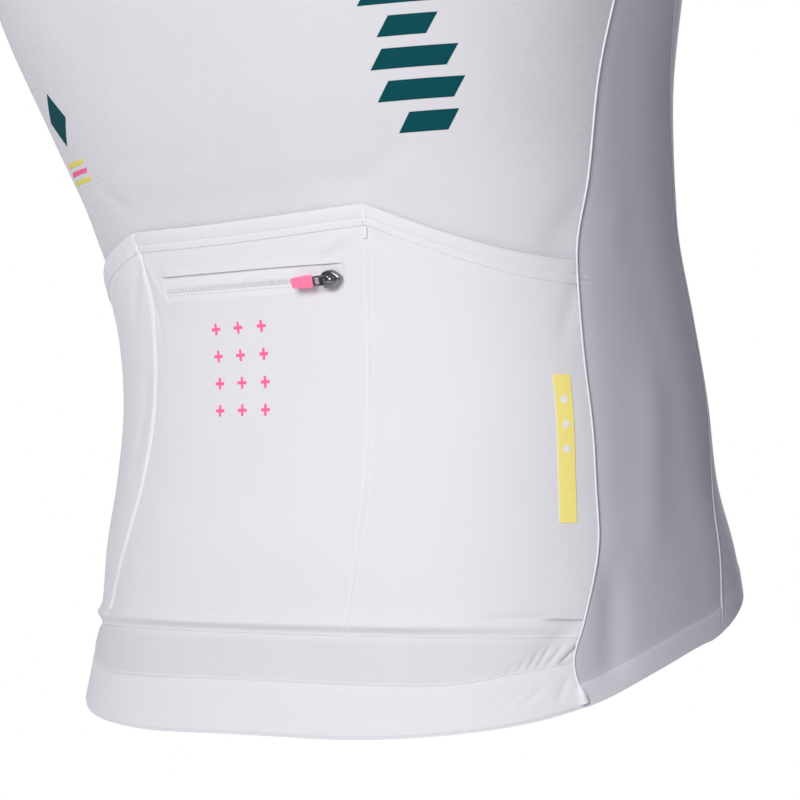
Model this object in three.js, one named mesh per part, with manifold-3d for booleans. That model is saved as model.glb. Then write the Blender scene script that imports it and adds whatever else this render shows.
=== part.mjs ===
// A short-sleeved cycling jersey, worn: filled out by a body that is not there, leaning a little to its left.
// Millimetres, +Z up, the front faces -Y and the wearer's left is +X. The origin is the middle of the neck,
// level with the shoulder seams, where the wearer's shoulders hold the garment up.
import * as THREE from "three";
import Module from "manifold-3d";

const wasm = await Module();
wasm.setup();

// Cloth and seams
const WALL = 1.3;
const BAND_WALL = 1.5;
const SEAM_GAP = 0.3;
const COLLAR_GAP = 0.5;
const ARMHOLE_GAP = 0.4;
const SECTION_POWER = 2.4;

// Heights above the lowest point of the hem
const UNDERARM = 450;
const SHOULDER_TIP = 606;
const NECK = 672;
const COLLAR_TOP = 702;
const NECK_HEIGHT = 645;
const SHOULDER_TURN = 90;
const FRONT_TURN = 180;

// Pockets over the lower back: their cloth rolls over the seam at the foot
const POCKET_FOOT = 53;
const POCKET_WALL = 1.2;
const POCKET_ROLL = { level: 57, width: 3.6, rise: 2 };
const CORNER_TURN = 25;
const BINDING_WIDTH = 9.5;
const BINDING_WALL = 0.7;
const BINDING_LIFT = 1.15;
const POCKET_PUFF = 1;
const POCKET_EDGE_DEPTH = -0.5;
const BACK_UNDER_POCKET = -2.6;
const BACK_BELOW_POCKET = -0.5;
const BACK_SINK = { from: 42, to: POCKET_FOOT };
const BACK_RISE = 24;

// Turned hems of the front and the sides
const HEM_WIDTH = 11;
const HEM_STEP = 1;
const HEM_RISE = 0.5;
const LEVEL_FROM = 130;

// Sleeves
const SLEEVE_REACH = 195;
const SLEEVE_OUT_DEGREES = 50;
const SLEEVE_FORWARD_DEGREES = 14;
const CUFF_RADIUS = 50;
const CUFF_WIDTH = 28;
const CUFF_RISE = 0.3;
const CUFF_TAPER = 1.5;
const SLEEVE_LEAVES = 70;
const SLEEVE_ARRIVES = 190;
const SLEEVE_SIDES = 20;

// Front zip, closed up to the collar
const ZIP_OPENING = 3.2;
const COIL = { half: 2.4, depth: -0.3, wall: 2 };
const TAPE = { inside: 2.7, outside: 13, depth: -2.2, wall: 0.6 };
const FRONT_SLIDER_BELOW_TOP = 5.5;

// Zip across the middle pocket, by distance along the cloth from the spine and by level at the spine;
// it falls by so many millimetres for each degree of turn
const POCKET_ZIP = { left: -55, right: 56, low: 203.5, high: 217.5, fall: 0.085 };
const POCKET_TAPE = { lift: 1.05, wall: 0.5 };
const POCKET_COIL = { level: 209.5, half: 1.6, lift: 2.35, wall: 1 };
const POCKET_LIP = { low: 216, high: 219.5, lift: 1.95, wall: 0.6 };
const POCKET_SLIDER_ARC = 49;

// Slider and pull, alike on both zips: the pull hangs on a bar that passes under the slider's bridge
const SLIDER = { width: 8, length: 10, plate: 1.2, clear: 0.3 };
const BRIDGE = { width: 1.6, reach: 3.4, leg: 1, under: 3, top: 3.9, sunk: 0.9 };
const PULL = { width: 4.8, eyeHalf: 1.4, eyeEnd: 4.9, bar: 1, length: 9, hinge: 2 };
const TAB = { width: 6, length: 12, thick: 1.8, round: 1.2 };

// Reflective strip on the wearer's right pocket
const STRIP = { top: 165, foot: 103.5, topArc: 150, footArc: 156.5, half: 4, lift: 1.3, wall: 0.6 };

// Sections of the body from the hem up: half width, depth behind and before the middle, how far the middle
// stands back and to the wearer's left, the slope of the lean, and how much lower the front lies
const SECTIONS = [
  { level: 0, half: 174, back: 131, front: 98, stand: -31.5, sway: 10, lean: 0, drop: 0 },
  { level: 35, half: 166, back: 129.5, front: 94.5, stand: -29, sway: 5.5, lean: 0, drop: 0 },
  { level: 62, half: 159.5, back: 130, front: 92, stand: -26.5, sway: 1.3, lean: 0, drop: 0 },
  { level: 90, half: 155, back: 129, front: 88.5, stand: -23.5, sway: -0.6, lean: 0, drop: 0 },
  { level: 120, half: 148.3, back: 122.5, front: 85.5, stand: -20.5, sway: -0.3, lean: 0, drop: 0 },
  { level: 155, half: 144.7, back: 115.5, front: 87, stand: -17.5, sway: 0.3, lean: 0.021, drop: 0 },
  { level: 190, half: 142.2, back: 109, front: 90, stand: -9.5, sway: 1.5, lean: 0.051, drop: 0 },
  { level: 220, half: 142, back: 106, front: 92, stand: -1, sway: 3.4, lean: 0.077, drop: 0 },
  { level: 250, half: 145, back: 106.4, front: 96, stand: 5, sway: 5.8, lean: 0.081, drop: 0 },
  { level: 290, half: 154, back: 112, front: 104, stand: 16, sway: 9.1, lean: 0.082, drop: 0 },
  { level: 345, half: 169.7, back: 121, front: 117, stand: 26.7, sway: 13.6, lean: 0.082, drop: 0 },
  { level: 400, half: 178, back: 128, front: 122, stand: 34, sway: 18, lean: 0.08, drop: 0 },
  { level: 450, half: 182, back: 131, front: 124, stand: 38, sway: 21.5, lean: 0.075, drop: 0 },
  { level: 500, half: 185, back: 131, front: 121, stand: 39, sway: 25, lean: 0.067, drop: 1 },
  { level: 545, half: 184, back: 127, front: 113, stand: 37, sway: 27.5, lean: 0.058, drop: 9 },
  { level: 585, half: 176, back: 119, front: 104, stand: 33, sway: 30, lean: 0.052, drop: 26 },
  { level: 612, half: 158, back: 109, front: 96, stand: 30, sway: 31.5, lean: 0.047, drop: 41 },
  { level: 632, half: 129, back: 96, front: 87, stand: 27, sway: 32.5, lean: 0.042, drop: 54 },
  { level: 650, half: 97, back: 80, front: 76, stand: 24, sway: 33, lean: 0.038, drop: 66 },
  { level: 664, half: 74, back: 66, front: 66, stand: 22, sway: 33.5, lean: 0.036, drop: 74 },
  { level: 674, half: 68, back: 61.5, front: 63, stand: 20, sway: 34, lean: 0.035, drop: 77 },
  { level: 702, half: 65.5, back: 58.5, front: 60.5, stand: 16, sway: 35, lean: 0.034, drop: 77 },
];

// Side panel edges, in degrees round from the spine: the seam behind it and the seam before it
const SIDE_SEAMS = [
  { level: 0, behind: 63, before: 93 },
  { level: 24, behind: 61, before: 94 },
  { level: 42, behind: 59.5, before: 94.5 },
  { level: 60, behind: 62.6, before: 95 },
  { level: 86, behind: 66.8, before: 98 },
  { level: 104, behind: 68.8, before: 101 },
  { level: 130, behind: 70, before: 108 },
  { level: 170, behind: 70, before: 112 },
  { level: 211, behind: 73, before: 113 },
  { level: 244, behind: 79, before: 113 },
  { level: 295, behind: 85, before: 111 },
  { level: 345, behind: 90, before: 108 },
  { level: 400, behind: 93, before: 104.5 },
  { level: 450, behind: 95, before: 101 },
];

// Armhole edges above the side panel
const ARMHOLE = [
  { level: 450, behind: 95, before: 101 },
  { level: 456, behind: 89, before: 106.5 },
  { level: 468, behind: 83.5, before: 112 },
  { level: 490, behind: 78.5, before: 116.5 },
  { level: 520, behind: 76, before: 118 },
  { level: 550, behind: 76, before: 116 },
  { level: 575, behind: 78.5, before: 111 },
  { level: 592, behind: 82, before: 105 },
  { level: 602, behind: 86, before: 98 },
  { level: 606, behind: 90, before: 90 },
];

// Hem edge, seam of the hem band and top edge of the pockets, by degrees round from the spine
const HEM = [
  { turn: 0, level: 7 },
  { turn: 20, level: 7 },
  { turn: 44, level: 13 },
  { turn: 62, level: 23 },
  { turn: 76, level: 36 },
  { turn: 96, level: 55 },
  { turn: 110, level: 66 },
  { turn: 140, level: 84 },
  { turn: 180, level: 92 },
];
const BAND_SEAM = [
  { turn: 0, level: 31 },
  { turn: 34, level: 31 },
  { turn: 47, level: 36 },
  { turn: 62, level: 42 },
];

// Top edges of the pockets, by degrees round from the spine, meeting at corners over the seams between them
const POCKET_TOPS = {
  left: [
    { turn: -74, level: 211 },
    { turn: -58, level: 221 },
    { turn: -44, level: 230 },
    { turn: -33, level: 235.5 },
    { turn: -CORNER_TURN, level: 239.5 },
  ],
  centre: [
    { turn: -CORNER_TURN, level: 239.5 },
    { turn: 0, level: 237.5 },
    { turn: CORNER_TURN, level: 238.5 },
  ],
  right: [
    { turn: CORNER_TURN, level: 238.5 },
    { turn: 33, level: 230.8 },
    { turn: 41, level: 224 },
    { turn: 50, level: 217.8 },
    { turn: 59, level: 213.3 },
    { turn: 68, level: 210.5 },
    { turn: 74, level: 209.5 },
  ],
};

// Seams between the pockets, by distance along the cloth from the spine: worn, they drift to the wearer's left
const DIVISIONS = [
  { level: 53, left: -115, right: 54.5 },
  { level: 66, left: -108.5, right: 56.7 },
  { level: 78, left: -101.5, right: 58.3 },
  { level: 94, left: -91.5, right: 60.5 },
  { level: 116, left: -81.5, right: 61.5 },
  { level: 135, left: -76.5, right: 61 },
  { level: 160, left: -73, right: 61 },
  { level: 190, left: -69.3, right: 63 },
  { level: 212, left: -67.2, right: 66 },
  { level: 240, left: -70.5, right: 71 },
];

const COLOURS = {
  rib: 0xdcdcdf,
  smooth: 0xe6e5ea,
  side: 0xc9c8d2,
  band: 0xdedee2,
  tape: 0xe4e4e8,
  coil: 0xd6d6dc,
  strip: 0xecdc82,
  metal: 0x3b3b40,
  rubber: 0xff80ab,
};

const { lerp, clamp, degToRad, radToDeg, smoothstep } = THREE.MathUtils;

// A smooth curve through the rows of a table, going on straight past its ends.
function curve(rows, along, value) {
  const x = rows.map((row) => row[along]);
  const y = rows.map((row) => row[value]);
  const last = rows.length - 1;
  const slopes = rows.map((_, i) => {
    const before = Math.max(i - 1, 0);
    const after = Math.min(i + 1, last);
    return (y[after] - y[before]) / (x[after] - x[before]);
  });
  return (at) => {
    if (at <= x[0]) return y[0] + slopes[0] * (at - x[0]);
    if (at >= x[last]) return y[last] + slopes[last] * (at - x[last]);
    let i = 0;
    while (at > x[i + 1]) i += 1;
    const span = x[i + 1] - x[i];
    const t = (at - x[i]) / span;
    const rise = y[i] * (1 + 2 * t) * (1 - t) ** 2 + y[i + 1] * t * t * (3 - 2 * t);
    return rise + span * t * (1 - t) * (slopes[i] * (1 - t) - slopes[i + 1] * t);
  };
}

const section = {};
for (const name of ["half", "back", "front", "stand", "sway", "lean", "drop"]) {
  section[name] = curve(SECTIONS, "level", name);
}
const sideBehind = curve(SIDE_SEAMS, "level", "behind");
const sideBefore = curve(SIDE_SEAMS, "level", "before");
const armholeBehind = curve(ARMHOLE, "level", "behind");
const armholeBefore = curve(ARMHOLE, "level", "before");
const hemCurve = curve(HEM, "turn", "level");
const bandSeamCurve = curve(BAND_SEAM, "turn", "level");
const leftDivisionArc = curve(DIVISIONS, "level", "left");
const rightDivisionArc = curve(DIVISIONS, "level", "right");
const pocketTops = {};
for (const [name, rows] of Object.entries(POCKET_TOPS)) {
  pocketTops[name] = curve(rows, "turn", "level");
}

const hem = (turn) => hemCurve(Math.abs(turn));
const bandSeam = (turn) => bandSeamCurve(Math.abs(turn));

function pocketTop(turn) {
  if (turn < -CORNER_TURN) return pocketTops.left(turn);
  return turn < CORNER_TURN ? pocketTops.centre(turn) : pocketTops.right(turn);
}

// A point of the body's outer surface: turn runs in degrees from the spine to the wearer's right.
function skin(level, turn) {
  const round = degToRad(turn);
  const power = 2 / SECTION_POWER;
  const side = -Math.sin(round);
  const rear = Math.cos(round);
  const half = section.half(level);
  const depth = rear > 0 ? section.back(level) : section.front(level);
  const x = half * Math.sign(side) * Math.abs(side) ** power;
  const y = depth * Math.sign(rear) * Math.abs(rear) ** power;
  const lower = section.drop(level) * ((1 - rear) / 2) ** 2;
  return new THREE.Vector3(
    section.sway(level) + x,
    section.stand(level) + y,
    level - section.lean(level) * x - lower,
  );
}

// The directions of the surface at a point: to the wearer's right, up the cloth, and out of it.
function directions(level, turn) {
  const step = 0.4;
  const right = skin(level, turn + step).sub(skin(level, turn - step)).normalize();
  const up = skin(level + 1, turn).sub(skin(level - 1, turn)).normalize();
  const out = right.clone().cross(up).normalize();
  return { right, up, out };
}

function place(level, turn, depth) {
  return skin(level, turn).addScaledVector(directions(level, turn).out, depth);
}

// The turn at which the cloth, measured along a level from the spine, has run the given length.
function turnAt(level, arc) {
  const step = 0.5;
  const sign = Math.sign(arc);
  let turn = 0;
  let run = 0;
  let from = skin(level, 0);
  while (run < Math.abs(arc)) {
    turn += step;
    const to = skin(level, sign * turn);
    run += to.distanceTo(from);
    from = to;
  }
  return sign * turn;
}

function millimetresPerDegree(level, turn) {
  return skin(level, turn + 0.5).distanceTo(skin(level, turn - 0.5));
}

const leftDivision = (level) => turnAt(level, leftDivisionArc(level));
const rightDivision = (level) => turnAt(level, rightDivisionArc(level));
const halfGap = (level, turn) => SEAM_GAP / 2 / millimetresPerDegree(level, turn);

// Joins two grids of points, an outer and an inner one, into a closed wall; a closed grid runs round a ring.
function wall(outer, inner, closed = false) {
  const rows = outer.length;
  const columns = outer[0].length;
  const points = [...outer.flat(), ...inner.flat()];
  const at = (layer, i, j) => layer * rows * columns + i * columns + (j % columns);
  const index = [];
  const quad = (a, b, c, d) => index.push(a, b, c, a, c, d);
  const spans = closed ? columns : columns - 1;
  for (let i = 0; i < rows - 1; i += 1) {
    for (let j = 0; j < spans; j += 1) {
      quad(at(0, i, j), at(0, i, j + 1), at(0, i + 1, j + 1), at(0, i + 1, j));
      quad(at(1, i, j), at(1, i + 1, j), at(1, i + 1, j + 1), at(1, i, j + 1));
    }
  }
  for (let j = 0; j < spans; j += 1) {
    quad(at(0, 0, j), at(1, 0, j), at(1, 0, j + 1), at(0, 0, j + 1));
    quad(at(0, rows - 1, j), at(0, rows - 1, j + 1), at(1, rows - 1, j + 1), at(1, rows - 1, j));
  }
  if (!closed) {
    for (let i = 0; i < rows - 1; i += 1) {
      quad(at(0, i, 0), at(0, i + 1, 0), at(1, i + 1, 0), at(1, i, 0));
      const end = columns - 1;
      quad(at(0, i, end), at(1, i, end), at(1, i + 1, end), at(0, i + 1, end));
    }
  }
  return outward(points, index);
}

// A geometry from points and triangles, turned so that its faces point out.
function outward(points, index) {
  let volume = 0;
  for (let i = 0; i < index.length; i += 3) {
    const [a, b, c] = [points[index[i]], points[index[i + 1]], points[index[i + 2]]];
    volume += a.dot(b.clone().cross(c));
  }
  const ordered = volume < 0 ? index.slice().reverse() : index;
  const geometry = new THREE.BufferGeometry().setFromPoints(points);
  geometry.setIndex(ordered);
  geometry.computeVertexNormals();
  return geometry;
}

const shares = (count) => Array.from({ length: count + 1 }, (_, i) => i / count);

// A panel of cloth between two edges, with its rows given by shares of its height.
function panel({ across, up, level, from, to, depth, thick = WALL }) {
  const outer = [];
  const inner = [];
  for (const v of up) {
    const outerRow = [];
    const innerRow = [];
    for (const u of across) {
      let turn = 0;
      let height = level(v, turn);
      for (let pass = 0; pass < 8; pass += 1) {
        turn = lerp(from(height), to(height), u);
        height = level(v, turn);
      }
      const out = depth(height, turn);
      outerRow.push(place(height, turn, out));
      innerRow.push(place(height, turn, out - thick));
    }
    outer.push(outerRow);
    inner.push(innerRow);
  }
  return wall(outer, inner);
}

// Rows that lie level from a height up and settle onto a sloping lower edge below it.
function settled(levels, levelFrom, foot) {
  const lowest = levels[0];
  return (v, turn) => {
    const level = levels[Math.round(v * (levels.length - 1))];
    const share = clamp((levelFrom - level) / (levelFrom - lowest), 0, 1);
    return level + share * (foot(turn) - lowest);
  };
}

const root = new THREE.Group();
root.position.set(-section.sway(NECK), -section.stand(NECK), -NECK_HEIGHT);

function add(name, geometry, colour, finish = {}) {
  const settings = { color: colour, roughness: 0.85, metalness: 0, ...finish };
  const mesh = new THREE.Mesh(geometry, new THREE.MeshStandardMaterial(settings));
  mesh.name = name;
  root.add(mesh);
  return mesh;
}

// Back: one panel from the hem band to the neck, lying lower where the pockets cover it
function backDepth(level, turn) {
  const top = pocketTop(turn);
  if (level > top) return lerp(BACK_UNDER_POCKET, 0, smoothstep(level, top, top + BACK_RISE));
  const { from, to } = BACK_SINK;
  return lerp(BACK_BELOW_POCKET, BACK_UNDER_POCKET, smoothstep(level, from, to));
}

function backEdge(level) {
  if (level < UNDERARM) return sideBehind(level) - halfGap(level, sideBehind(level));
  if (level < SHOULDER_TIP) return armholeBehind(level);
  return SHOULDER_TURN - halfGap(level, SHOULDER_TURN);
}

function frontEdge(level) {
  if (level < UNDERARM) return sideBefore(level) + halfGap(level, sideBefore(level));
  if (level < SHOULDER_TIP) return armholeBefore(level);
  return SHOULDER_TURN + halfGap(level, SHOULDER_TURN);
}

const ARMHOLE_LEVELS = [450, 456, 468, 490, 520, 550, 575, 592, 602, 606];
const NECK_LEVELS = [620, 634, 648, 660, NECK];

// Levels shared by the pieces that meet at the side seams
const POCKET_LEVELS = [POCKET_FOOT, POCKET_ROLL.level, 61, 66, 75, 86, 100, 130, 160, 190];
const SEAM_LEVELS = [...POCKET_LEVELS, 212, 240, 262, 300, 345, 400];
const backRows = [BAND_SEAM[0].level, 42, ...SEAM_LEVELS, ...ARMHOLE_LEVELS, ...NECK_LEVELS];
add(
  "back_panel",
  panel({
    across: shares(22),
    up: shares(backRows.length - 1),
    level: settled(backRows, BACK_SINK.to, (turn) => bandSeam(turn) + SEAM_GAP / 2),
    from: (level) => -backEdge(level),
    to: backEdge,
    depth: backDepth,
  }),
  COLOURS.rib,
);

// Hem band with gripper elastic
const bandEnd = (level) => sideBehind(level) - 4 * halfGap(level, sideBehind(level));
add(
  "hem_band",
  panel({
    across: shares(22),
    up: shares(2),
    level: (v, turn) => lerp(hem(turn), bandSeam(turn) - SEAM_GAP / 2, v),
    from: (level) => -bandEnd(level),
    to: bandEnd,
    depth: () => 0,
    thick: BAND_WALL,
  }),
  COLOURS.band,
);

// Pockets: puffed a little between the seams that hold them down, and rolled over the seam at the foot
function pocketDepth(level, share) {
  const puff = POCKET_PUFF * Math.sin(Math.PI * share) ** 0.5;
  const roll = POCKET_ROLL.rise * Math.exp(-(((level - POCKET_ROLL.level) / POCKET_ROLL.width) ** 2));
  return POCKET_EDGE_DEPTH + puff + roll;
}

const pocketEdge = (level) => sideBehind(level) - halfGap(level, sideBehind(level));
const besideDivision = (division, side) => (level) => {
  return division(level) + side * halfGap(level, CORNER_TURN);
};
const POCKETS = [
  { name: "left", from: (level) => -pocketEdge(level), to: besideDivision(leftDivision, -1) },
  {
    name: "centre",
    from: besideDivision(leftDivision, 1),
    to: besideDivision(rightDivision, -1),
  },
  { name: "right", from: besideDivision(rightDivision, 1), to: pocketEdge },
];
const POCKET_COLUMNS = 10;

function depthOn(pocket) {
  return (level, turn) => {
    const span = pocket.to(level) - pocket.from(level);
    return pocketDepth(level, clamp((turn - pocket.from(level)) / span, 0, 1));
  };
}

for (const pocket of POCKETS) {
  const depth = depthOn(pocket);
  const topOf = pocketTops[pocket.name];
  const edges = { across: shares(POCKET_COLUMNS), from: pocket.from, to: pocket.to };
  add(
    "pocket_" + pocket.name,
    panel({
      ...edges,
      up: shares(POCKET_LEVELS.length),
      level: (v, turn) => POCKET_LEVELS[Math.round(v * POCKET_LEVELS.length)] ?? topOf(turn),
      depth,
      thick: POCKET_WALL,
    }),
    COLOURS.smooth,
  );
  add(
    "pocket_binding_" + pocket.name,
    panel({
      ...edges,
      up: shares(1),
      level: (v, turn) => topOf(turn) - BINDING_WIDTH * (1 - v),
      depth: (level, turn) => depth(level, turn) + BINDING_LIFT,
      thick: BINDING_WALL,
    }),
    COLOURS.smooth,
  );
}

// Strip of cloth or tape that lies on a pocket, between two distances along the cloth
function patch(pocket, { low, high, from, to, lift, thick, columns, rows, fall = 0 }) {
  const depth = depthOn(pocket);
  return panel({
    across: shares(columns),
    up: shares(rows),
    level: (v, turn) => lerp(low, high, v) - fall * turn,
    from: (level) => turnAt(level, from(level)),
    to: (level) => turnAt(level, to(level)),
    depth: (level, turn) => depth(level, turn) + lift,
    thick,
  });
}

const [, middlePocket, rightPocket] = POCKETS;
const stripArc = (level) => {
  return lerp(STRIP.footArc, STRIP.topArc, (level - STRIP.foot) / (STRIP.top - STRIP.foot));
};
add(
  "reflective_strip",
  patch(rightPocket, {
    low: STRIP.foot,
    high: STRIP.top,
    from: (level) => stripArc(level) - STRIP.half,
    to: (level) => stripArc(level) + STRIP.half,
    lift: STRIP.lift,
    thick: STRIP.wall,
    columns: 2,
    rows: 5,
  }),
  COLOURS.strip,
);

const acrossZip = {
  from: () => POCKET_ZIP.left,
  to: () => POCKET_ZIP.right,
  fall: POCKET_ZIP.fall,
  columns: 8,
  rows: 1,
};
add(
  "pocket_zip_tape",
  patch(middlePocket, {
    ...acrossZip,
    low: POCKET_ZIP.low,
    high: POCKET_ZIP.high,
    lift: POCKET_TAPE.lift,
    thick: POCKET_TAPE.wall,
  }),
  COLOURS.tape,
);
add(
  "pocket_zip_coil",
  patch(middlePocket, {
    ...acrossZip,
    low: POCKET_COIL.level - POCKET_COIL.half,
    high: POCKET_COIL.level + POCKET_COIL.half,
    lift: POCKET_COIL.lift,
    thick: POCKET_COIL.wall,
  }),
  COLOURS.coil,
);
add(
  "pocket_zip_lip",
  patch(middlePocket, {
    ...acrossZip,
    low: POCKET_LIP.low,
    high: POCKET_LIP.high,
    lift: POCKET_LIP.lift,
    thick: POCKET_LIP.wall,
  }),
  COLOURS.smooth,
);

// Rows of a piece with a turned hem: the edge, both sides of the hem's step, then rows that level out
function hemmed(levels) {
  const start = [0, HEM_WIDTH, HEM_WIDTH + HEM_STEP];
  const firstRow = hem(SIDE_SEAMS[0].behind) + HEM_WIDTH + HEM_STEP;
  return {
    up: shares(start.length + levels.length - 1),
    level: (v, turn) => {
      const row = Math.round(v * (start.length + levels.length - 1));
      if (row < start.length) return hem(turn) + start[row];
      const level = levels[row - start.length];
      const share = clamp((LEVEL_FROM - level) / (LEVEL_FROM - firstRow), 0, 1);
      return level + share * (hem(turn) - hem(sideBehind(level)));
    },
    depth: (level, turn) => (level < hem(turn) + HEM_WIDTH + HEM_STEP / 2 ? HEM_RISE : 0),
  };
}

const seamGap = (level) => halfGap(level, SHOULDER_TURN);
const SIDES = [
  { name: "left", sign: -1 },
  { name: "right", sign: 1 },
];

// Edges of a piece given for the wearer's right, swapped and mirrored for the left
function edges(sign, behind, before) {
  if (sign > 0) return { from: behind, to: before };
  return { from: (level) => -before(level), to: (level) => -behind(level) };
}

for (const { name, sign } of SIDES) {
  const behind = (level) => sideBehind(level) + seamGap(level);
  const before = (level) => sideBefore(level) - seamGap(level);
  add(
    "side_panel_" + name,
    panel({
      across: shares(5),
      ...hemmed([...SEAM_LEVELS, UNDERARM]),
      ...edges(sign, behind, before),
    }),
    COLOURS.side,
  );
}

// Fronts, on both sides of the zip
const turnAtX = (level, x) => {
  const share = (x / section.half(level)) ** (SECTION_POWER / 2);
  return FRONT_TURN - radToDeg(Math.asin(share));
};
const zipEdge = (level) => turnAtX(level, ZIP_OPENING);
const frontRows = hemmed([...SEAM_LEVELS, ...ARMHOLE_LEVELS, ...NECK_LEVELS]);
for (const { name, sign } of SIDES) {
  add(
    "front_" + name,
    panel({ across: shares(9), ...frontRows, ...edges(sign, frontEdge, zipEdge) }),
    COLOURS.smooth,
  );
}

// Stand collar, open in front for the zip
add(
  "collar",
  panel({
    across: shares(26),
    up: shares(2),
    level: (v) => lerp(NECK + COLLAR_GAP, COLLAR_TOP, v),
    from: (level) => -zipEdge(level),
    to: zipEdge,
    depth: () => 0,
    thick: BAND_WALL,
  }),
  COLOURS.rib,
);

// Zip tapes and coil behind the opening
const collarRows = [NECK + 10, NECK + 20, COLLAR_TOP];
const zipRows = hemmed([...SEAM_LEVELS, ...ARMHOLE_LEVELS, ...NECK_LEVELS, ...collarRows]);
for (const { name, sign } of SIDES) {
  const inside = (level) => turnAtX(level, TAPE.inside);
  const outside = (level) => turnAtX(level, TAPE.outside);
  add(
    "zip_tape_" + name,
    panel({
      across: shares(1),
      ...zipRows,
      ...edges(sign, outside, inside),
      depth: () => TAPE.depth,
      thick: TAPE.wall,
    }),
    COLOURS.tape,
  );
}
add(
  "zip_coil",
  panel({
    across: shares(2),
    ...zipRows,
    from: (level) => turnAtX(level, COIL.half),
    to: (level) => 2 * FRONT_TURN - turnAtX(level, COIL.half),
    depth: () => COIL.depth,
    thick: COIL.wall,
  }),
  COLOURS.coil,
);

// A solid from a geometry, for joining
function solid(geometry) {
  const position = geometry.getAttribute("position");
  const points = [];
  const index = [];
  const seen = new Map();
  for (let i = 0; i < position.count; i += 1) {
    const point = new THREE.Vector3().fromBufferAttribute(position, i);
    const key = point.toArray().map((value) => value.toFixed(4)).join(" ");
    if (!seen.has(key)) {
      seen.set(key, points.length / 3);
      points.push(...point.toArray());
    }
    index.push(seen.get(key));
  }
  const order = geometry.index ? Array.from(geometry.index.array, (i) => index[i]) : index;
  const mesh = new wasm.Mesh({
    numProp: 3,
    vertProperties: new Float32Array(points),
    triVerts: new Uint32Array(order),
  });
  return new wasm.Manifold(mesh);
}

function joined(first, second) {
  const mesh = solid(first).add(solid(second)).getMesh();
  const geometry = new THREE.BufferGeometry();
  geometry.setAttribute("position", new THREE.BufferAttribute(mesh.vertProperties, 3));
  geometry.setIndex(new THREE.BufferAttribute(mesh.triVerts, 1));
  geometry.computeVertexNormals();
  return geometry;
}

function rectangle(left, low, right, high, ShapeType = THREE.Shape) {
  const shape = new ShapeType();
  shape.moveTo(left, low);
  shape.lineTo(right, low);
  shape.lineTo(right, high);
  shape.lineTo(left, high);
  shape.closePath();
  return shape;
}

const extruded = (shape, depth) => new THREE.ExtrudeGeometry(shape, { depth, bevelEnabled: false });

function sliderGeometry() {
  const plate = new THREE.Shape();
  const half = SLIDER.width / 2;
  const end = SLIDER.length / 2;
  plate.moveTo(-half * 0.6, -end);
  plate.lineTo(half * 0.6, -end);
  plate.lineTo(half, 0);
  plate.lineTo(half, end);
  plate.lineTo(-half, end);
  plate.lineTo(-half, 0);
  plate.closePath();
  const arch = rectangle(-BRIDGE.reach, BRIDGE.sunk, BRIDGE.reach, BRIDGE.top);
  const inside = BRIDGE.reach - BRIDGE.leg;
  arch.holes.push(rectangle(-inside, SLIDER.plate, inside, BRIDGE.under, THREE.Path));
  const bridge = extruded(arch, BRIDGE.width).translate(0, 0, -BRIDGE.width / 2);
  const axes = new THREE.Matrix4().makeBasis(
    new THREE.Vector3(0, 1, 0),
    new THREE.Vector3(0, 0, 1),
    new THREE.Vector3(1, 0, 0),
  );
  return joined(extruded(plate, SLIDER.plate), bridge.applyMatrix4(axes));
}

function pullGeometry() {
  const half = PULL.width / 2;
  const shape = rectangle(-half, -PULL.length, half, PULL.bar / 2);
  shape.holes.push(
    rectangle(-PULL.eyeHalf, -PULL.eyeEnd, PULL.eyeHalf, -PULL.bar / 2, THREE.Path),
  );
  return extruded(shape, PULL.bar).translate(0, 0, -PULL.bar / 2);
}

function tabGeometry() {
  const top = -PULL.length - SEAM_GAP;
  const foot = top - TAB.length;
  const half = TAB.width / 2;
  const shape = new THREE.Shape();
  shape.moveTo(-half, top);
  shape.lineTo(-half, foot + TAB.round);
  shape.quadraticCurveTo(-half, foot, -half + TAB.round, foot);
  shape.lineTo(half - TAB.round, foot);
  shape.quadraticCurveTo(half, foot, half, foot + TAB.round);
  shape.lineTo(half, top);
  shape.closePath();
  const settings = { depth: TAB.thick, bevelEnabled: false, curveSegments: 3 };
  return new THREE.ExtrudeGeometry(shape, settings).translate(0, 0, -TAB.thick / 2);
}

// A slider with its pull, set on the cloth: the zip closes along travel, and the pull lies the other way.
function zipHead(name, level, turn, lift, travelAcross, tabColour) {
  const { right, up, out } = directions(level, turn);
  const travel = travelAcross ? right : up;
  const across = travel.clone().cross(out).normalize();
  const head = new THREE.Group();
  head.position.copy(place(level, turn, lift));
  head.quaternion.setFromRotationMatrix(new THREE.Matrix4().makeBasis(across, travel, out));
  root.add(head);
  const metal = { roughness: 0.3, metalness: 1 };
  const slider = add(name + "_slider", sliderGeometry(), COLOURS.metal, metal);
  const pull = add(name + "_pull", pullGeometry(), COLOURS.metal, metal);
  const tab = add(name + "_tab", tabGeometry(), tabColour, { roughness: 0.6 });
  pull.position.z = PULL.hinge;
  tab.position.z = PULL.hinge;
  head.add(slider, pull, tab);
}

const sliderTurn = turnAt(POCKET_COIL.level, POCKET_SLIDER_ARC);
const sliderLevel = POCKET_COIL.level - POCKET_ZIP.fall * sliderTurn;
const coilTop = depthOn(middlePocket)(sliderLevel, sliderTurn) + POCKET_COIL.lift;
zipHead("pocket_zip", sliderLevel, sliderTurn, coilTop + SLIDER.clear, true, COLOURS.rubber);
const frontSliderLevel = COLLAR_TOP - FRONT_SLIDER_BELOW_TOP;
zipHead("zip", frontSliderLevel, FRONT_TURN, SLIDER.clear, false, COLOURS.tape);

// Sleeves: from the armhole out along the arm, with a band at the end
function armholePoint(sign, angle) {
  const level = lerp(UNDERARM, SHOULDER_TIP, (1 + Math.cos(angle)) / 2);
  const behind = armholeBehind(level);
  const before = armholeBefore(level);
  const lowest = Math.abs(angle - Math.PI) < 1e-6;
  const turn = lowest ? (behind + before) / 2 : angle < Math.PI ? behind : before;
  return skin(level, sign * turn);
}

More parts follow.
